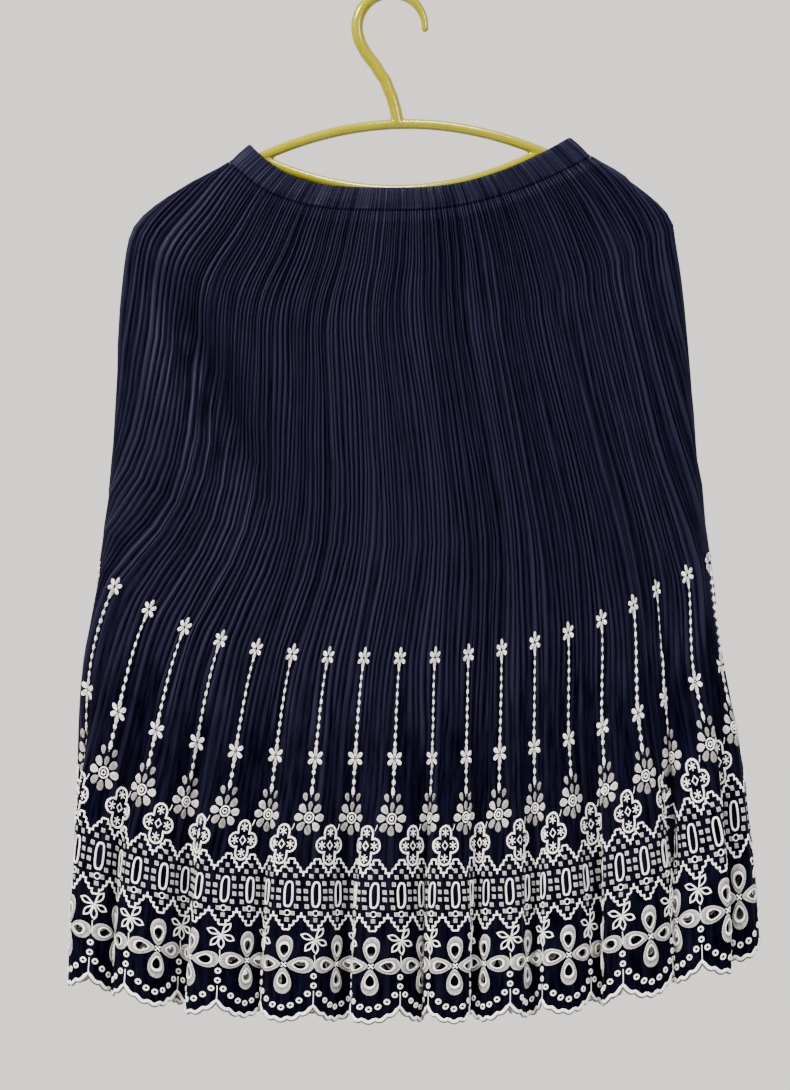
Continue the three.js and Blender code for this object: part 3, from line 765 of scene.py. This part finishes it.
def lay_panel(name, first):
    last = first + PANEL_COLUMNS
    gap = HALF_SEAM_GAP * COLUMNS / MEAN_RING
    phase = pleat_phase(np.array([first + 1e-6]))[0]
    whole_pleats = math.floor(phase) + np.arange(PLEATS // 2 + 3)
    wanted = (whole_pleats[:, None] + PLEAT_POINTS).ravel()
    turns = round((first - pleat_column(np.array([phase]))[0]) / COLUMNS) * COLUMNS
    column = pleat_column(wanted) + turns
    column = column[(column > first + SEAM_CLEARANCE) & (column < last - SEAM_CLEARANCE)]
    column = np.r_[first + gap, column, last - gap]
    across = len(column)
    high = np.r_[pleated_drops, np.linspace(430, FLOWER_TOP_DROP, 14)[1:]]
    low = np.linspace(0, 1, 25)[1:, None] * (hem_drop(column)[None, :] - FLOWER_TOP_DROP)
    grid_d = np.vstack([np.tile(high[:, None], (1, across)), FLOWER_TOP_DROP + low])
    grid_c = np.tile(column, (len(grid_d), 1))
    grid_c += pleat_waver(grid_c, grid_d)
    c, d = grid_c.ravel(), grid_d.ravel()
    quads = cut_eyelets(cloth_quads(len(grid_c), across), c, d)
    out = pleat_out(c, d)
    number = np.floor(pleat_phase(c - pleat_waver(c, d))).astype(int) % PLEATS
    # painted light and shade: crests painted lighter, valleys darker, each pleat's highlight scaled
    # at random
    crest = np.clip(out / PLEAT_DEPTH + PLEAT_VALLEY * pleat_level(d), 0, 1) * pleat_shine[number]
    surface = out + crease_out(c, d)
    outer, inner = on_cloth(c, d, surface + CLOTH_HALF), on_cloth(c, d, surface - CLOTH_HALF)
    points, faces = thick_sheet(outer, inner, quads)
    uv = np.tile(np.stack([c * REPEAT, -d], 1), (2, 1))
    used, numbers = np.unique(faces, return_inverse=True)  # the eyelets leave points unused
    print(name, "triangles:", 2 * len(faces))
    return make_piece(name, points[used], numbers.reshape(faces.shape), uv[used],
                      np.r_[crest, crest][used])


front_cloth = lay_panel("front_cloth", SIDE_SEAM)
back_cloth = lay_panel("back_cloth", SIDE_SEAM + PANEL_COLUMNS)

# %% [markdown]
# ## Laying the stitches on the cloth
# Every motif is laid on its repeat through the same surface as the cloth, so it bends over the
# flutes with it. A motif is modelled once, and each repeat gets its own copy of the points. Up
# on the pleats the stitches bridge from crest to crest, so they stay near the crests' height.

# %% Lay the embroidery
def lay_motif(motif, at):
    points, faces, uv, tone = motif
    column = at + points[:, 0] / REPEAT
    drop = HEM_DROP - points[:, 1]
    cloth = pleat_out(column, drop)
    crest_line = PLEAT_DEPTH * pleat_level(drop) * (0.85 - PLEAT_VALLEY)
    bridge = soft_step((pleat_level(drop) - 0.2) / 0.4)
    cloth = cloth + bridge * 0.75 * np.maximum(crest_line - cloth, 0)
    out = np.where(points[:, 2] < BASE, points[:, 2], points[:, 2] + CLOTH_HALF)
    return on_cloth(column, drop, cloth + crease_out(column, drop) + out), faces, uv, tone


HEM_POINTS = 56  # along each repeat of the stitched edge
HEM_CLEARANCE = 0.001  # in columns, so that the two panels' edges don't touch


def hem_edge(first):
    """The satin edge of the hem: a band wrapped over the cloth's lower edge."""
    column = np.linspace(first + HEM_CLEARANCE, first + PANEL_COLUMNS - HEM_CLEARANCE,
                         PANEL_COLUMNS * HEM_POINTS + 1)
    edge = hem_drop(column)
    slope = np.gradient(edge, column * REPEAT)
    length = np.sqrt(1 + slope ** 2)
    # distance below the edge, distance outwards and painted brightness: the rim itself is painted
    # dark, as a painted shadow line under the white band
    profile = [(-2.9, BASE + CLOTH_HALF, 0.9), (-2.4, 1.0, 1.2), (-0.9, 1.0, 1.1),
               (-0.2, 0.9, 0.1), (0.9, 0.0, 0.02), (-0.2, -0.9, 0.1), (-2.4, -1.0, 1.2),
               (-2.9, -BASE - CLOTH_HALF, 0.9)]
    points = []
    for down, out, tone in profile:
        c = column - down * slope / length / REPEAT
        d = edge + down / length
        points.append(on_cloth(c, d, pleat_out(c, d) + crease_out(c, d) + out))
    n, rows = len(column), len(profile)
    faces = looped_rows(rows, n, closed=False)
    faces += [tuple(r * n for r in range(rows - 1, -1, -1)),
              tuple(r * n + n - 1 for r in range(rows))]
    run = np.r_[0, np.cumsum(np.hypot(np.diff(column) * REPEAT, np.diff(edge)))]
    uv = np.vstack([np.stack([run, np.full(n, 1.5 * r)], 1) for r in range(rows)])
    return np.vstack(points), faces, uv, np.repeat([tone for down, out, tone in profile], n)


def embroider(name, layout, columns, extra=()):
    laid = [lay_motif(motif, k + phase) for k in columns for motif, phase in layout]
    points, faces, uv, tone = joined(list(extra) + laid)
    print(name, "triangles:", sum(len(face) - 2 for face in faces))
    return make_piece(name, points, faces, uv, tone, smooth=False)


HEM_LAYOUT = [(flower_motif, 0.0), (small_flower_motif, 0.5), (swag_motif, 0.0)]
MIDDLE_LAYOUT = [(foil_motif, 0.75), (lattice_motif, 0.0), (lattice_motif, 0.5)]
STRING_LAYOUT = [(string_motif, STRING_PHASE), (daisy_motif, STRING_PHASE)]
embroideries = []
for side, begins in (("front", 0), ("back", PANEL_COLUMNS)):
    columns, first = range(begins, begins + PANEL_COLUMNS), SIDE_SEAM + begins
    embroideries += [
        embroider(side + "_hem_embroidery", HEM_LAYOUT, columns, [hem_edge(first)]),
        embroider(side + "_lattice_embroidery", MIDDLE_LAYOUT, columns),
        embroider(side + "_string_embroidery", STRING_LAYOUT, columns),
    ]

# %% [markdown]
# ## The waistband
# The band is the same cloth folded over elastic and stitched down. The pleats run on through it
# as narrow ribs, which pinch in a little at the row of stitches. It is one closed ring.

# %% Build the waistband
# drop, distance outwards and share of the ribs, from the top edge down and up again inside
BAND_PROFILE = [
    (-20.4, -0.6, 0.1), (-20.2, 0.4, 0.5), (-18.8, 0.9, 0.9), (-14.5, 1.05, 1.0),
    (-9.5, 1.2, 1.0), (-5.5, 1.0, 1.0), (-3.6, 0.6, 1.1), (-2.6, 0.6, 1.2), (-0.15, 0.3, 1.6),
    (-0.15, -1.3, 0.0), (-3, -1.7, 0.1), (-8, -1.9, 0.3), (-14, -1.9, 0.3), (-18, -1.7, 0.2),
    (-20.2, -1.3, 0.1),
]
band_columns = pleat_column((np.arange(PLEATS)[:, None] + PLEAT_POINTS[::2] + 0.5).ravel())
band_columns = np.sort(np.mod(band_columns, COLUMNS))
band_wave = np.clip(pleat_out(band_columns, np.zeros(len(band_columns))) / PLEAT_DEPTH, -1, 1)
band_points, band_uv = [], []
for row, (drop, out, ribs) in enumerate(BAND_PROFILE):
    waver = 0.2 * np.sin(band_columns * 2.1 + row * 0.7) * (ribs > 0.2)
    band_points.append(on_cloth(band_columns, np.full(len(band_columns), drop),
                                out + ribs * 2.0 * band_wave + waver))
    band_uv.append(np.stack([band_columns * 15, np.full(len(band_columns), row * 2.0)], 1))
n, rows = len(band_columns), len(band_points)
band_faces = looped_rows(rows, n)
# painted light and shade: the ribs' crests painted lighter, their valleys darker
band_painted_shading = np.tile(np.clip(band_wave + PLEAT_VALLEY, 0, 1), rows)
waistband_cloth = make_piece("waistband_cloth", np.vstack(band_points), band_faces,
                             np.vstack(band_uv), band_painted_shading)
print("waistband triangles:", 2 * len(band_faces))

# %% [markdown]
# ## The hanger
# The hanger is one moulded piece: two arms that fall from the neck, a lower bar that joins them
# and the hook. Each is a round bar swept along its line: a circle is added where the bar starts
# and is extruded step by step in edit mode. The bars are then fused by a voxel remesh, which
# also leaves the small round fillets that a mould gives where bars meet.


# %% Sweep a bar by hand
def deselect_everything():
    for thing in bpy.data.objects:
        thing.select_set(False)
    bpy.context.view_layer.objects.active = None


NO_WINDOW = -1  # with no window, transform.rotate turns the other way


def swept_bar(name, path_mm, radii_mm):
    """A round bar along a path in the plane of the hanger, with a rounded end at either side."""
    deselect_everything()
    path = [Vector((x, 0, z)) / 1000 for x, z in path_mm]
    aims = [path[min(i + 1, len(path) - 1)] - path[max(i - 1, 0)] for i in range(len(path))]
    slopes = [math.atan2(aim.z, aim.x) for aim in aims]
    bpy.ops.mesh.primitive_circle_add(vertices=20, radius=radii_mm[0] / 1000, fill_type="NGON",
                                      location=path[0], rotation=(0, QUARTER - slopes[0], 0))
    bar = bpy.context.object
    bar.name = name
    bar.data.transform(bar.matrix_world)
    bar.matrix_world = Matrix.Identity(4)
    bpy.ops.object.mode_set(mode="EDIT")
    bpy.ops.mesh.select_all(action="SELECT")
    for i in range(1, len(path)):
        bpy.ops.mesh.extrude_region_move(TRANSFORM_OT_translate={"value": path[i] - path[i - 1]})
        turned = math.remainder(slopes[i] - slopes[i - 1], 2 * math.pi)
        bpy.ops.transform.rotate(value=NO_WINDOW * -turned, orient_axis="Y", orient_type="GLOBAL",
                                 center_override=path[i])
        grow = radii_mm[i] / radii_mm[i - 1]
        bpy.ops.transform.resize(value=(grow, grow, grow), center_override=path[i])
    bpy.ops.mesh.select_all(action="SELECT")
    bpy.ops.mesh.normals_make_consistent(inside=False)
    bpy.ops.object.mode_set(mode="OBJECT")
    return bar


DOME_RINGS = 4


def dome(end, before, radius):
    """A few rings beyond a bar's end that close it in a dome: their places and radii."""
    (x, z), (x0, z0) = end, before
    way = math.atan2(z - z0, x - x0)
    bends = [QUARTER * k / (DOME_RINGS + 0.4) for k in range(1, DOME_RINGS + 1)]
    reaches = [radius * math.sin(bend) for bend in bends]
    places = [(x + reach * math.cos(way), z + reach * math.sin(way)) for reach in reaches]
    return places, [radius * math.cos(bend) for bend in bends]


def with_round_ends(path, radii):
    head, head_radii = dome(path[0], path[1], radii[0])
    tail, tail_radii = dome(path[-1], path[-2], radii[-1])
    return head[::-1] + list(path) + tail, head_radii[::-1] + list(radii) + tail_radii


# %% The hanger's lines
HANGER_MIDDLE, ARM_TOP, ARM_CURVE, ARM_TILT = 7.6, -99.5, 0.001947, 0.0215
LEFT_ARM, RIGHT_ARM, CROSSBAR_REACH, CROSSBAR_DEPTH = 195, 203, 112, -151.3


def arm_height(x):
    return ARM_TOP - ARM_CURVE * x * x + ARM_TILT * x


arm_x = np.linspace(-LEFT_ARM, RIGHT_ARM, 60)
arm_path = [(HANGER_MIDDLE + x, arm_height(x)) for x in arm_x]
arm_radii = [4.2 - 0.5 * float(soft_step((abs(x) - 150) / 60)) for x in arm_x]
smile = (ARM_TOP - ARM_CURVE * CROSSBAR_REACH ** 2 - CROSSBAR_DEPTH) / CROSSBAR_REACH ** 2
bar_x = np.linspace(-CROSSBAR_REACH, CROSSBAR_REACH, 40)
crossbar_path = [(HANGER_MIDDLE + x, CROSSBAR_DEPTH + smile * x * x + ARM_TILT * x)
                 for x in bar_x]
HOOK_RADIUS, HOOK_CENTRE = 27, -22.2
hook_points = [(5.4, -98.4), (4.4, -92), (0.8, -78), (-4.4, -65), (-12.5, -52.5), (-21.0, -41)]
hook_points += [(HOOK_RADIUS * math.cos(a), HOOK_CENTRE + HOOK_RADIUS * math.sin(a))
                for a in np.radians(np.arange(193, -9, -14.0))]
hook_points = np.array(hook_points)
distance = np.r_[0, np.cumsum(np.hypot(*np.diff(hook_points, axis=0).T))]
even = np.linspace(0, distance[-1], 70)
hook_path = []
for d in even:  # a small parabola through the nearest points smooths the line
    weight = np.exp(-((distance - d) / 5.5) ** 2)
    hook_path.append(tuple(float(np.polyfit(distance - d, values, 2, w=weight + 1e-6)[-1])
                           for values in hook_points.T))
hook_radii = [4.9 - 2.0 * float(soft_step((d / distance[-1] - 0.72) / 0.28)) for d in even]
bars = [swept_bar("arms", *with_round_ends(arm_path, arm_radii)),
        swept_bar("crossbar", *with_round_ends(crossbar_path, [3.7] * len(crossbar_path))),
        swept_bar("hook", *with_round_ends(hook_path, hook_radii))]
print("bars:", [len(bar.data.polygons) for bar in bars])

# %% Fuse the bars into one moulded piece
VOXEL = 0.0009  # in metres
deselect_everything()
for bar in bars:
    bar.select_set(True)
bpy.context.view_layer.objects.active = bars[0]
bpy.ops.object.join()
moulded_hanger = bpy.context.object
moulded_hanger.name = "moulded_hanger"
fuse = moulded_hanger.modifiers.new("fuse", "REMESH")
fuse.mode, fuse.voxel_size, fuse.use_smooth_shade = "VOXEL", VOXEL, True
bpy.ops.object.modifier_apply(modifier=fuse.name)
soften = moulded_hanger.modifiers.new("soften", "SMOOTH")
soften.factor, soften.iterations = 0.5, 6
bpy.ops.object.modifier_apply(modifier=soften.name)
thin = moulded_hanger.modifiers.new("thin", "DECIMATE")
thin.ratio = 0.5
bpy.ops.object.modifier_apply(modifier=thin.name)
bpy.ops.object.shade_smooth()
print("hanger faces:", len(moulded_hanger.data.polygons))

# %% [markdown]
# ## Materials
# Three finishes are enough: heat-set polyester cloth, satin-stitched thread and moulded plastic.
# Their colours are written as sRGB hex and one function turns them linear. One small function
# adds a node with its settings and links, one ends a material with its shader and output, and
# one sets the two colours of a ramp.


# %% Helpers for materials
def linear(hex_colour):
    channels = [int(hex_colour[i:i + 2], 16) / 255 for i in (1, 3, 5)]
    return tuple(c / 12.92 if c <= 0.04045 else ((c + 0.055) / 1.055) ** 2.4
                 for c in channels) + (1.0,)


def add_node(material, kind, settings=(), **links):
    node = material.node_tree.nodes.new("ShaderNode" + kind)
    for name, value in dict(settings).items():
        if name in node.inputs:
            node.inputs[name].default_value = value
        else:
            setattr(node, name, value)
    # _0 is the first input, Base_Color is Base Color, and a node stands for its first output
    for name, source in links.items():
        socket = node.inputs[int(name[1:]) if name[0] == "_" else name.replace("_", " ")]
        material.node_tree.links.new(getattr(source, "outputs", [source])[0], socket)
    return node


def add_surface(material, settings, **links):
    """The principled shader and the material's output."""
    shader = add_node(material, "BsdfPrincipled", settings, **links)
    add_node(material, "OutputMaterial", Surface=shader)


def set_ramp(ramp, *stops):
    """Sets the two stops of a colour ramp, each a position and a colour."""
    for element, (position, colour) in zip(ramp.color_ramp.elements, stops):
        element.position, element.color = position, linear(colour)


def new_material(name):
    material = bpy.data.materials.new(name)
    material.use_nodes = True
    material.node_tree.nodes.clear()
    return material


print("navy in linear light:", [round(c, 4) for c in linear("#121121")])

# %% [markdown]
# ## Heat-set polyester satin
# The cloth is a dense navy polyester. Its colour holds painted shade, darker in the valleys, and a
# painted highlight, lighter along the pressed crests, and the specular is turned down in the
# valleys.
# Along the crests it has a faint bluish shine. The weave is far too fine to see, so it is drawn as
# a faint rib four times coarser than the real one, and only close up does it show.

# %% The navy cloth
navy = new_material("heat_set_polyester_cloth")
flat_uv = add_node(navy, "UVMap", {"uv_map": "UVMap"})
pleat_painted_shading = add_node(navy, "Attribute", {"attribute_name": "tone"})
place = add_node(navy, "Mapping", {"Scale": (0.05, 0.006, 1)}, Vector=flat_uv)
cloudy = add_node(navy, "TexNoise", {"Scale": 6.0, "Detail": 3.0}, Vector=place)
# painted light and shade from the pleats, mixed with a random cloudiness
shade = add_node(navy, "Math", {"operation": "MULTIPLY_ADD", "use_clamp": True},
                 _0=pleat_painted_shading.outputs["Fac"], _2=cloudy.outputs["Fac"])
shade.inputs[1].default_value = 0.75
colours = add_node(navy, "ValToRGB", Fac=shade)
# from the painted shade of the valleys to the painted highlight of the crests
set_ramp(colours, (0.38, "#010106"), (1.0, "#121121"))
weave = add_node(navy, "TexWave",
                 {"Scale": 0.55, "Distortion": 0.4, "bands_direction": "DIAGONAL"},
                 Vector=flat_uv)
crinkle_place = add_node(navy, "Mapping", {"Scale": (0.5, 0.05, 1)}, Vector=flat_uv)
crinkle = add_node(navy, "TexNoise", {"Scale": 1.0, "Detail": 2.0}, Vector=crinkle_place)
relief = add_node(navy, "Bump", {"Strength": 0.25, "Distance": 0.0006},
                  Height=crinkle.outputs["Fac"])
fine_relief = add_node(navy, "Bump", {"Strength": 0.12, "Distance": 0.0002},
                       Height=weave.outputs["Fac"], Normal=relief)
# the painted crest value also sets the specular: none in the valleys
gloss = add_node(navy, "MapRange", {"To Min": 0.0, "To Max": 0.15},
                 Value=pleat_painted_shading.outputs["Fac"])
add_surface(navy, {"Roughness": 0.48, "Sheen Weight": 0.02, "Sheen Roughness": 0.4,
                   "Sheen Tint": linear("#8f90c8"), "Specular Tint": linear("#b4b3cf")},
            Base_Color=colours, Normal=fine_relief, Specular_IOR_Level=gloss)
print("cloth nodes:", len(navy.node_tree.nodes))

# %% [markdown]
# ## Satin-stitched rayon thread
# The thread is a cream-white rayon, laid side by side. It shines along the stitch, so the shapes
# look silky. Their colour holds painted light: painted highlights on rims and lines, painted grey
# shade on fills and where the threads turn away, and painted shade between the strands. Real
# threads lie 0.3 mm apart. They are drawn about 1.3 mm apart here, because finer ones don't show
# from so far away.

# %% The white thread
thread = new_material("satin_stitched_rayon_thread")
thread_uv = add_node(thread, "UVMap", {"uv_map": "UVMap"})
strands = add_node(thread, "TexWave", {"Scale": 0.25, "Distortion": 0.8, "Detail": 1.0,
                                       "bands_direction": "X"}, Vector=thread_uv)
object_place = add_node(thread, "TexCoord")
mottle = add_node(thread, "TexNoise", {"Scale": 420.0, "Detail": 3.0},
                  Vector=object_place.outputs["Object"])
stitch_painted_shading = add_node(thread, "Attribute", {"attribute_name": "tone"})
# painted shade between the strands, where the bump sinks, times a random mottle
strand_shade_and_mottle = add_node(thread, "Math", {"operation": "MULTIPLY"},
                   _0=strands.outputs["Fac"], _1=mottle.outputs["Fac"])
strand_shade_and_mottle_share = add_node(thread, "MapRange", {"From Max": 0.6, "To Min": 0.45, "To Max": 1.6},
                         Value=strand_shade_and_mottle)
thread_shade = add_node(thread, "Math", {"operation": "MULTIPLY", "use_clamp": True},
                        _0=strand_shade_and_mottle_share, _1=stitch_painted_shading.outputs["Fac"])
thread_colours = add_node(thread, "ValToRGB", Fac=thread_shade)
# from the painted grey shade to the thread's cream-white
set_ramp(thread_colours, (0.1, "#3f3c38"), (0.95, "#fffdf8"))
thread_relief = add_node(thread, "Bump", {"Strength": 0.5, "Distance": 0.0003},
                         Height=strands.outputs["Fac"])
add_surface(thread, {"Roughness": 0.42, "Sheen Weight": 0.2, "Specular IOR Level": 0.5},
            Base_Color=thread_colours, Normal=thread_relief)
print("thread nodes:", len(thread.node_tree.nodes))

# %% [markdown]
# ## Moulded polypropylene
# The hanger is glossy yellow plastic. Its mould was polished, so highlights are sharp, and the
# thick bars let a little light through, which keeps the shaded side warm. Slight waves in the
# surface come from shrinking as it cooled.

# %% The yellow plastic
yellow = new_material("glossy_moulded_polypropylene")
plastic_place = add_node(yellow, "TexCoord")
waves = add_node(yellow, "TexNoise", {"Scale": 60.0, "Detail": 2.0},
                 Vector=plastic_place.outputs["Object"])
plastic_colours = add_node(yellow, "ValToRGB", Fac=waves.outputs["Fac"])
set_ramp(plastic_colours, (0.0, "#706b00"), (1.0, "#7b7600"))
plastic_relief = add_node(yellow, "Bump", {"Strength": 0.05, "Distance": 0.0004},
                          Height=waves.outputs["Fac"])
add_surface(yellow, {"Roughness": 0.2, "IOR": 1.49, "Subsurface Weight": 0.05,
                     "Subsurface Scale": 0.004, "Subsurface Radius": (1.0, 0.8, 0.1),
                     "Coat Weight": 0.2, "Coat Roughness": 0.05},
            Base_Color=plastic_colours, Normal=plastic_relief)
print("plastic nodes:", len(yellow.node_tree.nodes))

# %% [markdown]
# ## Joining the pieces to the model
# Each piece gets its material, and the solids that they stand for are hidden. Nothing here moves,
# so all of them ride on the one body. Each panel of cloth is twenty repeats of 45 mm wide before
# it was pleated.

# %% Ride and replace
for piece in (front_cloth, back_cloth, waistband_cloth):
    piece.data.materials.append(navy)
for piece in embroideries:
    piece.data.materials.append(thread)
moulded_hanger.data.materials.clear()
moulded_hanger.data.materials.append(yellow)
for piece in [front_cloth, back_cloth, waistband_cloth, moulded_hanger] + embroideries:
    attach(piece, "root")
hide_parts("front_panel")
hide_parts("back_panel")
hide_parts("waistband")
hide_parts("hanger")

# %% [markdown]
# ## Light, floor and camera
# A soft light stands high on the left and grazes the pleats, so each one has a lit and a dark
# flank. The room is bright behind the skirt and dim in front of it, which keeps the navy deep.
# The camera looks straight on from far away, so the skirt's outline stays true.

# %% The stage
deselect_everything()
bpy.ops.mesh.primitive_circle_add(vertices=96, radius=1.5, fill_type="NGON",
                                  location=(0, 0, -1.25))
floor = bpy.context.object
floor.name = "pale_floor"
floor_paint = new_material("pale_matt_floor")
add_surface(floor_paint, {"Base Color": linear("#cfccc8"), "Roughness": 0.8})
floor.data.materials.append(floor_paint)
room = bpy.data.worlds.new("pale_room")
bpy.context.scene.world = room
room.use_nodes = True
background = room.node_tree.nodes["Background"]
background.inputs["Color"].default_value = linear("#d2cfcc")
facing = add_node(room, "TexCoord")
axes = add_node(room, "SeparateXYZ", Vector=facing.outputs["Generated"])
brightness = add_node(room, "MapRange",
                      {"From Min": -0.5, "From Max": 0.8, "To Min": 0.36, "To Max": 2.1},
                      Value=axes.outputs["Y"])
room.node_tree.links.new(brightness.outputs[0], background.inputs["Strength"])


SKIRT_MIDDLE = -0.4  # the height that every light aims at


def soft_light(name, at, size, power, colour):
    deselect_everything()
    bpy.ops.object.light_add(type="AREA", location=at)
    light = bpy.context.object
    light.name = name
    light.data.energy, light.data.size = power, size
    light.data.color = linear(colour)[:3]
    aim = Vector((0, 0, SKIRT_MIDDLE)) - Vector(at)
    light.rotation_euler = aim.to_track_quat("-Z", "Y").to_euler()


soft_light("window_light", (-1.7, -1.3, 1.0), 0.6, 190, "#fffaf2")
soft_light("fill_light", (1.6, -2.2, 0.3), 0.8, 66, "#fbf9ff")
soft_light("top_light", (0.2, -0.9, 1.6), 0.6, 84, "#ffffff")

# %% The camera
MM_PER_PIXEL = 0.795
CAMERA_DISTANCE = 4.0
SENSOR = 24.0
PICTURE_HEIGHT = 1090  # pixels
RIGHT_OF_ORIGIN, BELOW_ORIGIN = 4, 546  # the picture's middle from the hook's rest, in pixels
deselect_everything()
centre = Vector((RIGHT_OF_ORIGIN * MM_PER_PIXEL / 1000, 0, -BELOW_ORIGIN * MM_PER_PIXEL / 1000))
bpy.ops.object.camera_add(location=centre + Vector((0, -CAMERA_DISTANCE, 0)),
                          rotation=(math.pi / 2, 0, 0))
camera = bpy.context.object
camera.data.sensor_fit = "VERTICAL"
camera.data.sensor_height = SENSOR
camera.data.lens = SENSOR * CAMERA_DISTANCE / (PICTURE_HEIGHT * MM_PER_PIXEL / 1000)
bpy.context.scene.camera = camera
print("lens:", round(camera.data.lens, 1), "mm")
